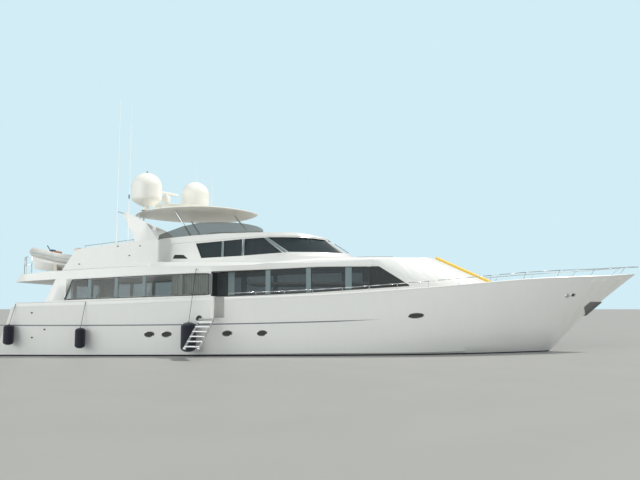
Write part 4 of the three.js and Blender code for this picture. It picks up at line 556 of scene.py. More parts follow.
def hull_skin():
    """The moulded outside of the hull, 6 mm proud. A station runs from the starboard sheer down to the keel
    and up to the port sheer: straight from keel to chine, flared above. The last stations lean with the
    transom, and a lip turns in to it. The faces in the side gateways are left out."""
    xs = np.unique(np.concatenate([np.linspace(HULL_AFT, GATE_AFT, 46),
                                   np.linspace(GATE_AFT, GATE_FORWARD, 4),
                                   np.linspace(GATE_FORWARD, HULL_FORWARD, 120)]))
    columns = faired(xs).T[:, :, None]
    keel, chine_y, chine_z, knuckle_y, knuckle_z, sheer_y, sheer_z = columns
    gate_knuckle, gate_side = (np.interp((GATE_AFT + GATE_FORWARD) / 2, xs, height[:, 0])
                               for height in (knuckle_z, sheer_z - knuckle_z))
    bottom = np.linspace(0, 1, 6)[None, :]
    low = np.linspace(0, 1, 7)[None, 1:]
    high = np.linspace((GATE_SILL - gate_knuckle) / gate_side, 1, 8)[None, :]

    def up_a_station(at_keel, at_chine, at_knuckle, at_sheer):
        return np.concatenate([at_keel + (at_chine - at_keel) * bottom,
                               at_chine + (at_knuckle - at_chine) * low,
                               at_knuckle + (at_sheer - at_knuckle) * high], axis=1)

    z = up_a_station(keel, chine_z, knuckle_z, sheer_z)
    straight = up_a_station(0.0, chine_y, knuckle_y, sheer_y)
    above = np.arange(z.shape[1])[None, :] >= bottom.shape[1]
    y = np.where(above, flared(xs[:, None], z, straight, columns), straight) + SKIN_PROUD
    y[:, 0] = 0.0
    z[:, 0] -= SKIN_PROUD
    lean = ramp(xs[:, None], LEAN_START, HULL_AFT)
    x = xs[:, None] + TRANSOM_RAKE * np.clip(z - TRANSOM_FOOT, 0, None) * lean
    port = xyz(x, y, z)
    lip = port[:1] - np.array([0.0, SKIN_PROUD + 0.002, 0.0])
    lip[:, 0, 1] = 0.0
    port = np.concatenate([lip, port])
    starboard = port[:, ::-1] * OTHER_SIDE
    vertices, quads = grid(np.concatenate([starboard[:, :-1], port], axis=1))
    x, _, z = vertices[quads].mean(axis=1).T
    return vertices, quads[(x < GATE_AFT) | (x > GATE_FORWARD) | (z < GATE_SILL)]


def hull_face(x, z):
    """Half-breadth of the hull's side above the chine at every (x, z), under its skin."""
    columns = faired(x).T
    _, chine_y, chine_z, knuckle_y, knuckle_z, sheer_y, sheer_z = columns
    low = chine_y + (knuckle_y - chine_y) * (z - chine_z) / (knuckle_z - chine_z)
    high = knuckle_y + (sheer_y - knuckle_y) * (z - knuckle_z) / (sheer_z - knuckle_z)
    return flared(x, z, np.where(z < knuckle_z, low, high), columns)


STRAKE_AFT, STRAKE_FORWARD, STRAKE_TAPER = -13.6, 2.6, 2.0
STRAKE_HALF_DEPTH, STRAKE_HALF_HEIGHT = 0.012, 0.024


def strake():
    """A rounded strake along the knuckle: an ellipse carried along it, 8 mm out, that thins over the taper
    to a twentieth at its forward end."""
    xs = np.linspace(STRAKE_AFT, STRAKE_FORWARD, 160)
    columns = faired(xs)
    size = np.clip((STRAKE_FORWARD - xs) / STRAKE_TAPER, 0.05, 1)[:, None]
    turn = angles(10)
    y = columns[:, 3:4] + 0.008 + STRAKE_HALF_DEPTH * size * np.cos(turn)
    z = columns[:, 4:5] + STRAKE_HALF_HEIGHT * size * np.sin(turn)
    return grid(xyz(xs[:, None], y, z), False, True)


# x, z, half-length, half-height of the ovals on the hull's side; a rim also has its own radius
PORTHOLES = [(x, z, 0.21, 0.115) for x, z in ((-7.19, 0.92), (-6.46, 0.92), (-3.91, 0.96), (-2.44, 0.97))]
PORTLIGHTS = PORTHOLES + [(4.07, 1.70, 0.34, 0.105)]
PORTLIGHT_RIMS = [(x, z, length + 0.005, height + 0.005, 0.014) for x, z, length, height in PORTLIGHTS]
HAWSE_THROATS = [(-5.1, 1.60, 0.12, 0.10), (11.45, 2.60, 0.10, 0.06)]
HAWSE_RIMS = [(-5.1, 1.60, 0.13, 0.11, 0.02), (11.45, 2.60, 0.11, 0.07, 0.024),
              (11.13, 2.56, 0.07, 0.05, 0.045)]
OUTLETS = [(x, z, 0.045, 0.035)
           for x, z in ((-13.1, 0.95), (-13.05, 0.75), (-12.2, 0.78), (-11.65, 1.12), (-12.2, 1.82))]
OVAL_CLIMB = 0.05


def oval(x, z, half_length, half_height, turn):
    """(x, z) round an ellipse whose long axis climbs forward by 5 cm in each metre."""
    forward = half_length * np.cos(turn)
    return x + forward, z + half_height * np.sin(turn) + OVAL_CLIMB * forward


def oval_pane(x, z, half_length, half_height):
    """An oval pane on the hull's side: ellipses from its middle out to its edge, each point 12 mm out from
    the hull's own half-breadth."""
    ring = np.linspace(0, 1, 7)[:, None]
    px, pz = oval(x, z, half_length * ring, half_height * ring, angles(32))
    face = hull_face(px.ravel(), pz.ravel()).reshape(px.shape)
    return grid(xyz(px, face + 0.012, pz), False, True)


def oval_rim(x, z, half_length, half_height, radius):
    """The rim of an oval: a ring of that radius carried round it, 8 mm out from the hull's side."""
    px, pz = oval(x, z, half_length, half_height, angles(40))
    return tube(xyz(px, hull_face(px, pz) + 0.008, pz), radius, 8, True)


piece("hull_skin", hull_skin(), HULL_WHITE, angle=28.0)
piece("rubbing_strake", both(strake()), STRIPE)
piece("portlights", both(*[oval_pane(*light) for light in PORTLIGHTS]), BLIND_GLASS)
piece("portlight_rims", both(*[oval_rim(*rim) for rim in PORTLIGHT_RIMS]), STAINLESS)
# Flat black ovals in the hawse throats: painted shade standing in for the depth of the openings
piece("hawse_throat_shade", both(*[oval_pane(*throat) for throat in HAWSE_THROATS]), GASKET)
piece("hawse_rims", both(*[oval_rim(*rim) for rim in HAWSE_RIMS]), STAINLESS)
# Flat black ovals at the outlets: painted shade standing in for the depth of the openings
piece("hull_outlet_shade", both(*[oval_pane(*outlet) for outlet in OUTLETS]), GASKET)

# Finishes of the nodes that keep their shape


def sided(*names):
    """The names of the port and starboard nodes of each."""
    return [f"{name}_{side}" for name in names for side in ("port", "starboard")]


NODES["hull"].data.materials.clear()
NODES["hull"].data.materials.append(DECKED_HULL)

for node in ("bulwark_aft", *sided("bulwark_forward"), "upper_deck", "fly_steps"):
    softened(node, LIT_DECK_WHITE)
for node in ("cap_rail_aft", "cap_rail_forward", *sided("house_side"), "saloon_bulkhead", "pilothouse",
             *sided("wing"), "arch", "tender_hull"):
    softened(node, WHITE)
softened("flybridge", LIT_DECK_WHITE, edge=0.03)
softened("trunk", LIT_DECK_WHITE, angle=40.0)
for node in sided("gate"):
    softened(node, WHITE, body=node, edge=0.006)
for node in ("pilothouse_floor", "fly_helm", "tender_chock_aft", "tender_chock_forward"):
    softened(node, CREAM, edge=0.008)
softened("swim_platform", TEAK, edge=0.01)
for node in sided("saloon_glass", "bulkhead_glass"):
    softened(node, GLASS)
for node in sided("cabin_glass"):
    softened(node, CABIN_GLASS)
softened("pilothouse_glass", DARK_GLASS)
softened("saloon_door", GLASS, body="saloon_door")
softened("fly_windscreen", SMOKED, angle=50.0)
for node in ("bow_rail", *sided("deck_rail"), "windlass", *sided("shaft")):
    softened(node, STAINLESS, angle=70.0)
softened("anchor", DARK_STEEL)
for node in sided("propeller"):
    softened(node, BRONZE, body=node, angle=50.0)
for node in sided("rudder"):
    softened(node, ANTIFOULING, body=node)
for node in ("whip_aft", "whip_forward"):
    softened(node, WHITE, angle=70.0)
softened("boarding_steps", ALUMINIUM, body="boarding_steps", edge=0.004)

# Domes, radar and hardtop

# name, x and y of the axis, height of the foot, radius of the post under it
DOMES = [("dome_starboard", -7.92, -1.35, 6.616, 0.11), ("dome_port", -6.22, 1.35, 6.70, 0.23)]
DOME_RADIUS, DOME_CROWN_FOOT, DOME_CROWN = 0.672, 0.895, 0.655
POD, POD_HALF = (-7.72, 0.0, 6.76), (0.17, 0.16, 0.12)
# x, y, foot and tip of each small whip
SMALL_WHIPS = [(-6.29, 2.0, 6.42, 9.25), (-5.15, 0.0, 6.50, 8.30)]
WHIP_BRACE, WHIP_COLLAR = [(-8.75, -2.93, 6.16), (-8.71, -2.16, 6.19)], (-8.25, -2.93, 0.0)
RADAR_X, MAST_FOOT, MAST_TOP = -7.35, 6.95, 7.33
# X at its widest, its reach aft and forward of that, its half-width, and X where the heights hold
HARDTOP_X, HARDTOP_AFT, HARDTOP_FORWARD, HARDTOP_WIDE, HARDTOP_MIDDLE = -5.45, 3.33, 2.49, 2.85, -5.87
HARDTOP_CLIMB = 0.012
# The radar arm's ends, its top, and at each end its half-width and half-depth
ARM_ENDS, ARM_TOP, ARM_HALF, ARM_DEPTH = (-7.95, -6.25), 6.95, (0.07, 0.14), (0.075, 0.04)
# Its pylon: X of its middle, foot, rise, and half-length and half-width with what they lose up to its head
PYLON_X, PYLON_FOOT, PYLON_RISE, PYLON_HALF, PYLON_TAPER = -6.55, 6.45, 0.42, (0.30, 0.14), (0.03, 0.05)
# foot and head of each strut
STRUTS = [((-5.72, 1.935, 5.16), (-6.51, 1.80, 6.38)), ((-5.72, -1.935, 5.16), (-6.51, -1.80, 6.38)),
          ((-3.20, 0.0, 5.35), (-4.10, 0.0, 6.40))]


def dome(x, y, foot):
    """A radome spun round its axis: a cone up from its foot, a shallow groove at the joint, a drum and a
    crown that is a quarter of an ellipse."""
    r, groove = DOME_RADIUS, DOME_RADIUS - 0.012
    profile = [[0.0, 0.01], [0.23, 0.01], [0.25, 0.03], [0.42, 0.12], [0.57, 0.215], [0.64, 0.275],
               [r - 0.004, 0.325], [r, 0.35], [r, 0.374], [groove, 0.378], [groove, 0.392], [r, 0.396]]
    arc = np.radians(np.linspace(0, 90, 22))
    crown = np.stack([r * np.cos(arc), DOME_CROWN_FOOT + DOME_CROWN * np.sin(arc)], axis=1)
    return turned(np.concatenate([profile, crown]), (x, y, foot), 56)


def pedestal(x, y, foot, post):
    """The post under a dome, spun round its axis: a flare where it leaves the hardtop, and a flange."""
    profile = [[post + 0.12, 6.43], [post + 0.08, 6.50], [post, 6.53], [post, foot - 0.03],
               [post + 0.04, foot - 0.01], [post + 0.04, foot + 0.012], [0.0, foot + 0.012]]
    return turned(profile, (x, y, 0), 32)


def whip(x, y, low, high):
    """A thin aerial: a ring carried straight up from a ferrule, its radius falling from 14 mm to 6 mm."""
    ferrule = 0.16
    path = xyz(x, y, [low, low + ferrule, low + ferrule + 0.01, high])
    return tube(path, [0.026, 0.026, 0.014, 0.006], 10)


def scanner():
    """The open array: a rounded bar 1.56 m long, turned 32 degrees, on a short round gearbox."""
    bar = block((RADAR_X, 0.0, MAST_TOP + 0.13), (0.055, 0.78, 0.06), 0.3, 16, math.radians(-32))
    gearbox = turned([[0, 0.001], [0.09, 0.001], [0.09, 0.09], [0, 0.09]], (RADAR_X, 0, MAST_TOP), 24)
    return gathered([bar, gearbox])


def radar_housing():
    """The pedestal of the scanner, spun round its axis: a narrow foot, a swelling body and a flat top."""
    top = MAST_TOP - 0.006
    profile = [[0.0, MAST_FOOT], [0.095, MAST_FOOT], [0.09, 7.02], [0.13, 7.03], [0.186, 7.05],
               [0.193, 7.09], [0.19, 7.20], [0.18, 7.29], [0.165, top], [0.0, top]]
    return turned(profile, (RADAR_X, 0, 0), 36)


def hardtop_shell():
    """A thin lens. A round plan is drawn out to a pointed one, whose half-width is the 0.7th power of
    (1 - x squared) and which reaches further aft than forward; its profile runs from the middle of the
    underside out to a rounded rim and back to the crown, and it rises forward by 12 mm in each metre."""
    profile = np.array([[0.0, 6.385], [0.3, 6.38], [0.6, 6.368], [0.8, 6.36], [0.93, 6.358], [0.975, 6.366],
                        [0.995, 6.382], [1.0, 6.398], [0.994, 6.418], [0.975, 6.434], [0.9, 6.452],
                        [0.75, 6.474], [0.5, 6.50], [0.25, 6.514], [0.0, 6.52]])
    turn = angles(96)
    r, z = profile[:, :1], profile[:, 1:]
    x = HARDTOP_X + np.where(np.cos(turn) < 0, HARDTOP_AFT, HARDTOP_FORWARD) * r * np.cos(turn)
    y = HARDTOP_WIDE * r * signed_power(np.sin(turn), 1.4)
    return grid(xyz(x, y, z + HARDTOP_CLIMB * (x - HARDTOP_MIDDLE)), False, True)


def radar_arm():
    """The arm: a squared ellipse carried along X, wider and shallower forward, whose width rounds off at
    each end as a root of the distance from it, over a pylon whose sides lean in."""
    xs = np.linspace(*ARM_ENDS, 18)[:, None]
    turn = angles(24)
    from_end = np.minimum(xs - ARM_ENDS[0], ARM_ENDS[1] - xs) + 0.01
    rounding, squareness, pylon_squareness = 0.05, 0.35, 0.5
    half = np.interp(xs, ARM_ENDS, ARM_HALF) * np.minimum(np.sqrt(from_end / rounding), 1)
    depth = np.interp(xs, ARM_ENDS, ARM_DEPTH)
    y = half * signed_power(np.cos(turn), squareness)
    z = ARM_TOP - depth + depth * signed_power(np.sin(turn), squareness)
    arm = xyz(xs, y, z)
    ends = [np.broadcast_to(row.mean(axis=1, keepdims=True), row.shape) for row in (arm[:1], arm[-1:])]
    arm = np.concatenate([ends[0], arm, ends[1]])
    level = np.linspace(0, 1, 6)[:, None]
    px = PYLON_X + (PYLON_HALF[0] - PYLON_TAPER[0] * level) * signed_power(np.cos(turn), pylon_squareness)
    py = (PYLON_HALF[1] - PYLON_TAPER[1] * level**0.6) * signed_power(np.sin(turn), pylon_squareness)
    pylon = xyz(px, py, PYLON_FOOT + PYLON_RISE * level)
    return gathered([grid(arm, False, True), grid(pylon, False, True)])


for name, x, y, foot, post in DOMES:
    piece(f"{name}_shell", dome(x, y, foot), RADOME, replaces=(name,), angle=40.0)
_, x, y, foot, _ = DOMES[0]
plug = turned([[0.0, 0.09], [0.025, 0.085], [0.03, 0.03], [0.06, 0.02], [0.07, -0.02]],
              (x, y, foot + DOME_CROWN_FOOT + DOME_CROWN), 16)
piece("dome_plug", plug, MULLION)
piece("arm_pod", block(POD, POD_HALF, 0.9, 16), RADOME)
collar = turned([[0.0, 6.72], [0.03, 6.725], [0.034, 6.80], [0.03, 6.90], [0.0, 6.905]], WHIP_COLLAR, 14)
piece("whip_fittings", gathered([tube(WHIP_BRACE, 0.014, 8), collar]), MULLION)
piece("small_whips", gathered([whip(*row) for row in SMALL_WHIPS]), WHITE)
piece("radar_array", scanner(), RADOME, body="radar_scanner", replaces=("radar_scanner",))
piece("radar_housing", radar_housing(), RADOME, replaces=("radar_mast",))
piece("hardtop_shell", hardtop_shell(), SOFT_WHITE, replaces=("hardtop",), angle=50.0)
struts = gathered([tube(strut, 0.036, 12) for strut in STRUTS])
piece("hardtop_struts", struts, STAINLESS, replaces=("hardtop",))
piece("radar_arm", radar_arm(), RADOME, replaces=("hardtop",))
piece("dome_pedestals", gathered([pedestal(*row[1:]) for row in DOMES]), WHITE, replaces=("hardtop",))

# Windows: gaskets, mullions, the pointed forward pane and curtains

# x, z along the head and the foot of the saloon's window band, and of the cabin's
HEAD_AFT = np.array([[-10.49, 3.215], [-7.34, 3.385], [-5.5, 3.47], [-4.70, 3.48]])
FOOT_AFT = np.array([[-10.82, 2.37], [-7.2, 2.50], [-5.0, 2.57], [-4.70, 2.58]])
HEAD_FORWARD = np.array([[-4.48, 3.555], [-2.3, 3.67], [0.0, 3.785], [2.18, 3.815]])
FOOT_FORWARD = np.array([[-4.48, 2.52], [-1.0, 2.66], [2.18, 2.87]])
# x and width of each mullion
MULLIONS_AFT = [(-9.75, 0.14), (-8.62, 0.14), (-7.44, 0.14)]
MULLIONS_FORWARD = [(-3.85, 0.28), (-2.26, 0.21), (-0.50, 0.21), (1.24, 0.28)]
CURTAIN_POSTS = [(-5.87, 0.12), (-4.645, 0.13)]
# The pointed pane: its upright aft edge, its point, and x, z along its foot and its head
POINT_ROOT, POINT_TIP = 2.17, 3.90
POINT_FOOT = np.array([[POINT_ROOT, 2.875], [POINT_TIP, 2.995]])
POINT_HEAD = np.array([[POINT_ROOT, 3.815], [2.57, 3.825], [POINT_TIP, 3.01]])
TRUNK_LEAN_START, TRUNK_LEAN = 2.33, 0.02
# Where the saloon's wall steps in to the side deck, and the height of its post
STEP_X, STEP_LOW, STEP_HIGH = -4.564, 2.53, 3.555
CURTAIN_AFT, CURTAIN_FORWARD, CURTAIN_INSIDE, CURTAIN_FOLDS, CURTAIN_SWING = -6.30, -4.72, 0.13, 16, 0.025


def saloon_face(x):
    """Half-breadth of the saloon's glass at every x: 5 mm in from the hull's top edge."""
    return sheer(x) - 0.005


def cabin_face(x):
    """Half-breadth of the cabin's wall at every x."""
    return at(DECK, 2, x)


def trunk_face(x, z):
    """Half-breadth of the house's side: upright aft of TRUNK_LEAN_START, and ahead of it the side leans in
    by 20 mm from the deck up to the roof's edge."""
    climb = ramp(z, at(DECK, 1, x), at(TRUNK_ROOF, 1, x))
    return at(DECK, 2, x) - TRUNK_LEAN * climb * (x > TRUNK_LEAN_START)


def along(line, x):
    """Height of a line of (x, z) points at every x."""
    return np.interp(x, line[:, 0], line[:, 1])


SALOON_BAND = HEAD_AFT, FOOT_AFT, saloon_face
CABIN_BAND = HEAD_FORWARD, FOOT_FORWARD, cabin_face


def round_pane(head, foot, parts):
    """(x, z) forward along a pane's foot and back along its head, that many points on each."""
    ahead, back = np.linspace(foot[0, 0], foot[-1, 0], parts), np.linspace(head[-1, 0], head[0, 0], parts)
    return np.concatenate([ahead, back]), np.concatenate([along(foot, ahead), along(head, back)])


def band_edge(head, foot, face):
    """A gasket round a window band: a ring of 16 mm carried along its foot, up its end and back along its
    head, 4 mm out from the wall's face."""
    x, z = round_pane(head, foot, 40)
    return tube(xyz(x, face(x) + 0.004, z), 0.016, 6, True)


def mullion(x, width, head, foot, face):
    """A flat cover over a mullion, from 12 mm above the foot to 12 mm below the head, 10 mm proud."""
    inset, proud = 0.012, np.array([0.0, 0.010, 0.0])
    xs = np.array([x - width / 2, x + width / 2])
    lower = xyz(xs, face(xs), along(foot, xs) + inset)
    upper = xyz(xs, face(xs), along(head, xs) - inset)
    return grid(np.stack([lower, lower + proud, upper + proud, upper]))


def pointed_pane():
    """The forward end of the side window: a grid between its foot and head lines, which meet at the
    point, 12 mm out from the house's side."""
    xs = np.linspace(POINT_ROOT, POINT_TIP, 24)[:, None]
    foot, head = along(POINT_FOOT, xs), along(POINT_HEAD, xs)
    z = foot + (head - foot) * np.linspace(0, 1, 8)
    return grid(xyz(xs, trunk_face(xs, z) + 0.012, z))


def pointed_edge():
    """The gasket round that pane: a ring of 18 mm carried along its foot and back along its head, 10 mm
    out from the house's side."""
    x, z = round_pane(POINT_HEAD, POINT_FOOT, 24)
    return tube(xyz(x, trunk_face(x, z) + 0.01, z), 0.018, 6, True)


def corner_post():
    """Dark sheet over the post where the saloon's wall steps in to the side deck: a strip of the wall's
    face, 10 mm proud, carried round the corner, along the step's forward side and onto the cabin's wall."""
    x = np.array([-4.60, -4.59, -4.58, STEP_X, STEP_X, STEP_X, -4.49])
    outer, inner = saloon_face(x) + 0.010, cabin_face(x) + 0.010
    y = np.concatenate([outer[:4], 0.5 * (outer[4:5] + inner[4:5]), inner[5:]])
    return grid(xyz(x, y, np.array([[STEP_LOW], [STEP_HIGH]])))


def corner_bead():
    """The bead down that corner: a ring of 14 mm carried straight up it."""
    x = STEP_X - 0.002
    return tube(xyz(x, saloon_face(x) + 0.012, np.linspace(2.60, 3.47, 8)), 0.014, 8)


def curtain(head, foot, face):
    """A drawn curtain inside the glass, from 20 mm above the foot to 10 mm below the head: Y swings by a
    sine of X, more at the foot than at the head."""
    xs = np.linspace(CURTAIN_AFT, CURTAIN_FORWARD, CURTAIN_FOLDS * 10)[:, None]
    level = np.linspace(0, 1, 8)
    low, high = along(foot, xs) + 0.02, along(head, xs) - 0.01
    z = low + (high - low) * level
    turns = CURTAIN_FOLDS * (xs - CURTAIN_AFT) / (CURTAIN_FORWARD - CURTAIN_AFT)
    swing = CURTAIN_SWING * (1.2 - 0.4 * level) * np.sin(2 * np.pi * turns)
    y = face(xs.ravel())[:, None] - CURTAIN_INSIDE + swing
    return grid(xyz(xs, y, z))


covers = ([mullion(*row, *SALOON_BAND) for row in MULLIONS_AFT]
          + [mullion(*row, *CABIN_BAND) for row in MULLIONS_FORWARD])
piece("mullion_covers", both(*covers), MULLION)
# These covers carry that painted shade, so they read as curtain behind the glass
piece("curtain_post_covers", both(*[mullion(*row, *SALOON_BAND) for row in CURTAIN_POSTS]), CURTAIN_SHADE_GREY)
piece("window_gaskets", both(band_edge(*SALOON_BAND), band_edge(*CABIN_BAND)), GASKET)
piece("pointed_panes", both(pointed_pane()), BLIND_GLASS)
piece("pointed_pane_gaskets", both(pointed_edge()), GASKET)
piece("corner_post_covers", both(corner_post()), BLIND_GLASS)
piece("corner_beads", both(corner_bead()), MULLION)

drawn = curtain(*SALOON_BAND)
for side, part in (("starboard", mirrored(drawn)), ("port", drawn)):
    item = piece(f"saloon_curtain_{side}", part, CURTAIN, outward=False)
    wall = item.modifiers.new("cloth_thickness", "SOLIDIFY")
    wall.thickness = 0.003

# Pilothouse sides and windscreen

# (x, z) of the foot and of the head of each post, and its width
WHEELHOUSE_POSTS = [((-4.27, 4.245), (-4.27, 4.955), 0.065), ((-3.40, 4.30), (-3.34, 5.04), 0.085),
                    ((-1.52, 4.46), (-2.41, 5.11), 0.20)]
# aft end, forward end and height of the low light's foot and of its head
LOW_LIGHT_FOOT, LOW_LIGHT_HEAD = np.array([-6.44, -5.78, 4.165]), np.array([-6.36, -5.98, 4.335])
# The wing's forward edge and its foot, and the return's reach forward, height aft and climb to its end
WING_EDGE_X, WING_EDGE_Y, WING_FOOT = -6.965, 2.905, 4.00
RETURN_REACH, RETURN_HEIGHT, RETURN_CLIMB = 0.46, 0.93, 0.15
WIPER_FEET, WIPER_SWING, WIPER_LOW, WIPER_HIGH = (-1.45, -0.35, 1.1), 0.35, 4.56, 5.02


def wheelhouse_face(x, z):
    """Half-breadth of the pilothouse's side: flat aft of the bow's start, and an ellipse in plan ahead of
    it, whose half-width and front are straight-line values of the height."""
    ahead = ramp(x, PILOTHOUSE_BOW_START, at(PILOTHOUSE, 2, z))
    return at(PILOTHOUSE, 1, z) * np.sqrt(1 - ahead**2)


def wheelhouse_post(low, high, width):
    """A cover strip on the pilothouse's side, straight from its low to its high (x, z), 6 mm proud."""
    level = np.linspace(0, 1, 14)[:, None]
    x = low[0] + (high[0] - low[0]) * level + width * np.array([[-0.5, 0.5]])
    z = low[1] + (high[1] - low[1]) * level
    face = xyz(x, wheelhouse_face(x, z), z)
    proud = face + np.array([0.0, 0.006, 0.0])
    return grid(np.concatenate([face[:, :1], proud, face[:, 1:]], axis=1))


def low_light():
    """The small light low in the pilothouse's side: a grid between a long foot and a shorter head, 6 mm
    proud."""
    level = np.linspace(0, 1, 5)[:, None]
    aft, forward, z = (LOW_LIGHT_FOOT + (LOW_LIGHT_HEAD - LOW_LIGHT_FOOT) * level).T[:, :, None]
    x = aft + (forward - aft) * np.linspace(0, 1, 9)
    return grid(xyz(x, wheelhouse_face(x, z) + 0.006, z))


def wing_return():
    """The wall that turns in from the wing's forward edge to the pilothouse: half a cosine wave in plan
    from the wing's face to the pilothouse's side, upright, its head rising forward."""
    t = np.linspace(0, 1, 25)
    x = WING_EDGE_X + RETURN_REACH * t
    z = WING_FOOT + (RETURN_HEIGHT + RETURN_CLIMB * t) * np.linspace(0, 1, 9)[:, None]
    inward = wheelhouse_face(x, z) + 0.004 - WING_EDGE_Y
    return grid(xyz(x, WING_EDGE_Y + inward * (1 - np.cos(np.pi * t)) / 2, z))


def wiper(y):
    """A wiper: a thin arm up the windscreen, a ring of 12 mm carried along a slanting line 30 mm ahead of
    its ellipses."""
    z = np.linspace(WIPER_LOW, WIPER_HIGH, 12)
    side = y + WIPER_SWING * np.linspace(0, 1, 12)
    half, front = at(PILOTHOUSE, 1, z), at(PILOTHOUSE, 2, z)
    x = PILOTHOUSE_BOW_START + (front - PILOTHOUSE_BOW_START) * np.sqrt(1 - (side / half) ** 2) + 0.03
    return tube(xyz(x, side, z), 0.012, 8)


piece("low_side_lights", both(low_light()), BLIND_GLASS)
piece("wing_returns", both(wing_return()), WHITE, outward=False)
posts = both(*[wheelhouse_post(*row) for row in WHEELHOUSE_POSTS])
piece("wheelhouse_posts", posts, MULLION, outward=False)
piece("wipers", gathered([wiper(y) for y in WIPER_FEET]), GASKET)

# Fenders

# name, x, radius, top, foot, x and z of the lanyard's head, and how far out from its seat that is
FENDERS = [("fender_aft", -13.08, 0.21, 1.33, 0.48, -12.90, 2.16, 0.012),
           ("fender_middle", -10.02, 0.21, 1.20, 0.35, -9.89, 2.26, 0.012),
           ("fender_forward", -5.46, 0.32, 1.44, 0.21, -5.24, 3.65, 0.150)]
FENDER_CLEAR, CAP_RAIL_PROUD, FASCIA_HEIGHT = 0.014, 0.025, 3.0


def fender(x, y, radius, top, foot):
    """A fender in its knitted cover: a cylinder whose ends round off as ellipses, with soft ribs."""
    arc = np.radians(np.linspace(0, 90, 10))
    cap, rib = radius * 0.6, radius * 0.008
    low = np.stack([radius * np.cos(arc), foot + cap - cap * np.sin(arc)], axis=1)[::-1]
    body = np.linspace(foot + cap, top - cap, 24)[1:-1]
    ribs = radius - rib * (np.arange(len(body)) % 2)
    high = np.stack([radius * np.cos(arc), top - cap + cap * np.sin(arc)], axis=1)
    return turned(np.concatenate([low, np.stack([ribs, body], axis=1), high]), (x, y, 0), 40)


def lanyard(x, y, top, line_x, line_z, reach):
    """A fender's lanyard: a ring carried straight from a spun collar on the fender to a small block on the
    boat. High up the block sits on the upper deck's fascia, and lower down on the cap rail."""
    seat = at(FASCIA, 1, line_x) if line_z > FASCIA_HEIGHT else sheer(line_x)[0] + CAP_RAIL_PROUD
    line = tube(np.linspace((x, y, top - 0.02), (line_x, -(seat + reach), line_z), 12), 0.009, 8)
    middle = (line_x, -(seat + reach / 2 + 0.001), line_z)
    fitting = block(middle, (0.016, reach / 2 + 0.004, 0.016), 0.3, 8)
    profile = [[0.0, top - 0.04], [0.05, top - 0.035], [0.035, top + 0.01], [0.0, top + 0.015]]
    return gathered([line, fitting, turned(profile, (x, y, 0), 16)])


for name, x, radius, top, foot, *head in FENDERS:
    y = -(faired(np.array([x]))[0, 3] + FENDER_CLEAR + radius)
    piece(f"{name}_cover", fender(x, y, radius, top, foot), FENDER_KNIT, replaces=(name,))
    piece(f"{name}_lanyard", lanyard(x, y, top, *head), FENDER_KNIT, replaces=(name,))

# Tender

TENDER_Y = -1.5
# x, half-breadth, z along the tube's middle, from its open end to the bow
TENDER_ROUTE = [(-8.62, 0.66, 4.13), (-10.0, 0.66, 4.13), (-11.0, 0.66, 4.15), (-11.6, 0.64, 4.24),
                (-12.18, 0.57, 4.37), (-12.6, 0.38, 4.47), (-12.88, 0.0, 4.54)]
TUBE_RADIUS, TUBE_ENDS = 0.198, (0.10, 0.16, 0.19)
BOW_CENTRE_X, STRAKE_OUT, STRAKE_RADIUS = -12.0, 0.185, 0.03


def tender_side():
    """The tube's middle round the boat: the route smoothed, and back as its mirror image."""
    side = smooth_path(TENDER_ROUTE, 10)
    return np.concatenate([side, side[-2::-1] * OTHER_SIDE]) + np.array([0.0, TENDER_Y, 0.0])


def tender_tube():
    """The buoyancy tube: a ring of 198 mm carried round the boat, drawn in to a cone at each open end."""
    path = tender_side()
    radius = np.full(len(path), TUBE_RADIUS)
    radius[:3], radius[-3:] = TUBE_ENDS, TUBE_ENDS[::-1]
    return tube(path, radius, 24)


def rub_strake():
    """The grey band along the tube's outside: a ring of 30 mm carried 185 mm out from the tube's middle,
    straight out along the sides and away from one centre round the bow."""
    path = tender_side()[2:-2]
    out = path - np.array([BOW_CENTRE_X, TENDER_Y, 0.0])
    out[:, 0] = np.minimum(out[:, 0], 0.0)
    out[:, 2] = 0.0
    out /= np.linalg.norm(out, axis=1, keepdims=True)
    return tube(path + out * STRAKE_OUT, STRAKE_RADIUS, 8)


def tender_block(x, z, half, squareness, parts, aside=0.0):
    """A rounded block on the tender's middle line, or aside of it."""
    return block((x, TENDER_Y + aside, z), half, squareness, parts)


piece("tender_tube_skin", tender_tube(), TUBE_CLOTH, replaces=("tender_tube",), angle=60.0)
piece("tender_strake", rub_strake(), BAND_GREY)
console = tender_block(-10.85, 4.39, (0.145, 0.29, 0.305), 0.2, 12)
seat = tender_block(-10.41, 4.245, (0.30, 0.29, 0.16), 0.2, 12)
piece("tender_console_body", gathered([console, seat]), CREAM, replaces=("tender_console",))
cushion = piece("tender_cushion", tender_block(-10.40, 4.43, (0.28, 0.28, 0.045), 0.35, 14), BLUE_VINYL)
cowl = tender_block(-8.50, 4.66, (0.16, 0.17, 0.20), 0.45, 16)
leg = tender_block(-8.50, 4.16, (0.06, 0.05, 0.30), 0.4, 12)
clamp = tender_block(-8.60, 4.05, (0.05, 0.08, 0.065), 0.3, 8)
piece("outboard", gathered([cowl, leg, clamp]), COWL, replaces=("tender_motor",))
piece("tender_bow_cover", tender_block(-11.88, 4.49, (0.20, 0.27, 0.075), 0.5, 14), RUST_VINYL)
piece("tender_bag", tender_block(-12.02, 4.58, (0.10, 0.20, 0.05), 0.6, 12, aside=-0.05), BLUE_VINYL)
jackstaff = tube([(-12.10, TENDER_Y, 4.50), (-12.30, TENDER_Y, 4.82)], 0.02, 10)
piece("tender_jackstaff", jackstaff, GASKET)

# Flybridge seat and cushions

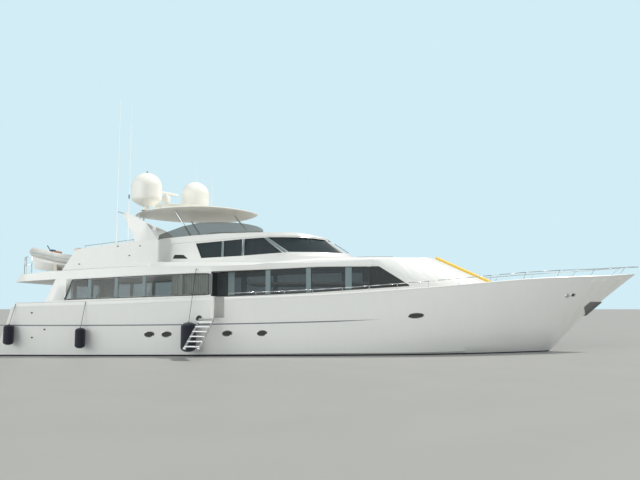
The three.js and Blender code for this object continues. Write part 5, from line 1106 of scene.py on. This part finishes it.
FLY_SEAT_Y, CUSHION_ASIDE = -0.2, 0.35
bench = block((-4.76, FLY_SEAT_Y, 4.79), (0.27, 0.69, 0.235), 0.15, 12)
backrest = block((-5.10, FLY_SEAT_Y, 5.0), (0.07, 0.69, 0.44), 0.3, 12)
piece("fly_seat_base", gathered([bench, backrest]), CREAM, replaces=("fly_seat",))
for index, aside in enumerate((-CUSHION_ASIDE, CUSHION_ASIDE)):
    pad = block((-4.74, FLY_SEAT_Y + aside, 5.03), (0.25, 0.33, 0.05), 0.35, 14)
    item = piece(f"fly_cushion_{index + 1}", pad, CREAM_VINYL)

# Foredeck, trunk and wing details

NOSE_BAND_Y, NOSE_BAND_RADIUS, NOSE_BAND_TOP, NOSE_BAND_FOOT = -0.31, 0.13, 4.29, 3.17
CROWN_RAIL_LEGS, WING_RAIL_LEGS = (1.0, 1.8, 2.6, 3.4), (-10.1, -9.4, -8.7, -8.05)
WING_RAIL_Y, WING_RAIL_SEAT = 2.845, np.array([[-10.18, 4.58], [-7.95, 4.87]])
# x, z of the small fittings on the wing's outer face
WING_FITTING_Y, WING_FITTINGS = 2.918, [(-8.68, 4.66), (-7.72, 4.67), (-8.17, 4.26), (-10.30, 3.89)]


def band_on_nose():
    """A padded band down the nose beside its crest: a ring of 130 mm carried down the ellipses' face."""
    z = np.linspace(NOSE_BAND_TOP, NOSE_BAND_FOOT, 30)
    front = NOSE_TIP - NOSE_SLOPE * (z - NOSE_TOP)
    x = NOSE_START + (front - NOSE_START) * math.sqrt(1 - (NOSE_BAND_Y / NOSE_HALF) ** 2)
    return tube(xyz(x, NOSE_BAND_Y, z), NOSE_BAND_RADIUS, 20)


def hand_rail(xs, y, seat, legs):
    """A low grab rail: a ring carried 90 mm above its seat, on thinner upright legs that run 10 mm into
    it. seat gives the height at every x."""
    radius, leg_radius, clear, sunk = 0.014, 0.0112, 0.09, 0.01
    rail = tube(xyz(xs, y, seat(xs) + clear), radius, 8)
    posts = [tube([(x, y, seat(x) - sunk), (x, y, seat(x) + clear)], leg_radius, 8) for x in legs]
    return gathered([rail] + posts)


crown_rail = hand_rail(np.linspace(0.95, 3.45, 24), 0.0, lambda x: at(TRUNK_ROOF, 2, x), CROWN_RAIL_LEGS)
wing_rail = hand_rail(np.linspace(-10.15, -7.98, 16), WING_RAIL_Y, lambda x: along(WING_RAIL_SEAT, x),
                      WING_RAIL_LEGS)
fittings = [block((x, WING_FITTING_Y, z), (0.035, 0.012, 0.022), 0.4, 8) for x, z in WING_FITTINGS]
piece("nose_band", band_on_nose(), YELLOW)
piece("crown_grab_rail", crown_rail, STAINLESS)
piece("wing_fittings", both(*fittings), GASKET)
piece("wing_grab_rails", both(wing_rail), STAINLESS)

# Studio

FLOOR_REACH = 300.0
KEY = dict(energy=2.8, angle=math.radians(6), color=(1.0, 0.96, 0.90))
KEY_TURN = (-8, 38, 0)
FILL = dict(energy=1.8, angle=math.radians(50), color=(0.98, 1.0, 0.97))
FILL_TURN = (80, 0, -40)
BACKDROP, BACKDROP_STRENGTH = rgb(0.70, 0.92, 1.0), 0.92
GLOW, GLOW_STRENGTH = rgb(0.86, 0.95, 1.0), 0.48
EYE, TILT, SENSOR, LENS, SIGHT = (0.0, -30.7, 2.15), 95.71, 36.0, 36.56, 1000.0


def studio_floor():
    """A flat sheet at the waterline, out to FLOOR_REACH each way."""
    ends = np.array([-FLOOR_REACH, FLOOR_REACH])
    return grid(xyz(ends[:, None], ends, 0.0))


def pale_floor():
    """Matt pale grey with a slow clouding."""
    material, g, shader = new_material("pale_floor")
    color = g.mix(g.noise(scale=0.4, detail=3.0), rgb(0.36, 0.36, 0.345), rgb(0.40, 0.40, 0.385))
    g.feed(shader, {"Base Color": color, "Roughness": 0.6})
    return material


def sunlight(name, turn, settings):
    """A sun of those settings, turned by three angles in degrees."""
    data = bpy.data.lights.new(name, "SUN")
    for key, value in settings.items():
        setattr(data, key, value)
    placed(name, data).rotation_euler = [math.radians(angle) for angle in turn]


vertices, quads = studio_floor()
ground = bpy.data.meshes.new("studio_floor")
ground.from_pydata(vertices.tolist(), [], quads.tolist())
ground.materials.append(pale_floor())
floor = placed("studio_floor", ground)

sunlight("key", KEY_TURN, KEY)
sunlight("fill", FILL_TURN, FILL)

# The backdrop is what the camera sees; the glow is what lights the boat and shows in its glass
world = bpy.data.worlds.new("studio_sky")
bpy.context.scene.world = world
world.use_nodes = True
sky = Graph(world.node_tree)
backdrop = sky.tree.nodes["Background"]
sky.feed(backdrop, {"Color": BACKDROP, "Strength": BACKDROP_STRENGTH})
glow = sky.add("ShaderNodeBackground", {"Color": GLOW, "Strength": GLOW_STRENGTH})
seen = sky.add("ShaderNodeLightPath").outputs["Is Camera Ray"]
choice = sky.add("ShaderNodeMixShader", {0: seen, 1: glow.outputs[0], 2: backdrop.outputs[0]})
sky.feed(sky.tree.nodes["World Output"], {"Surface": choice.outputs[0]})

camera_data = bpy.data.cameras.new("view")
camera_data.sensor_width, camera_data.lens, camera_data.clip_end = SENSOR, LENS, SIGHT
camera = placed("view", camera_data)
camera.location = EYE
camera.rotation_euler = (math.radians(TILT), 0.0, 0.0)
bpy.context.scene.camera = camera
bpy.context.scene.view_settings.view_transform = "Standard"
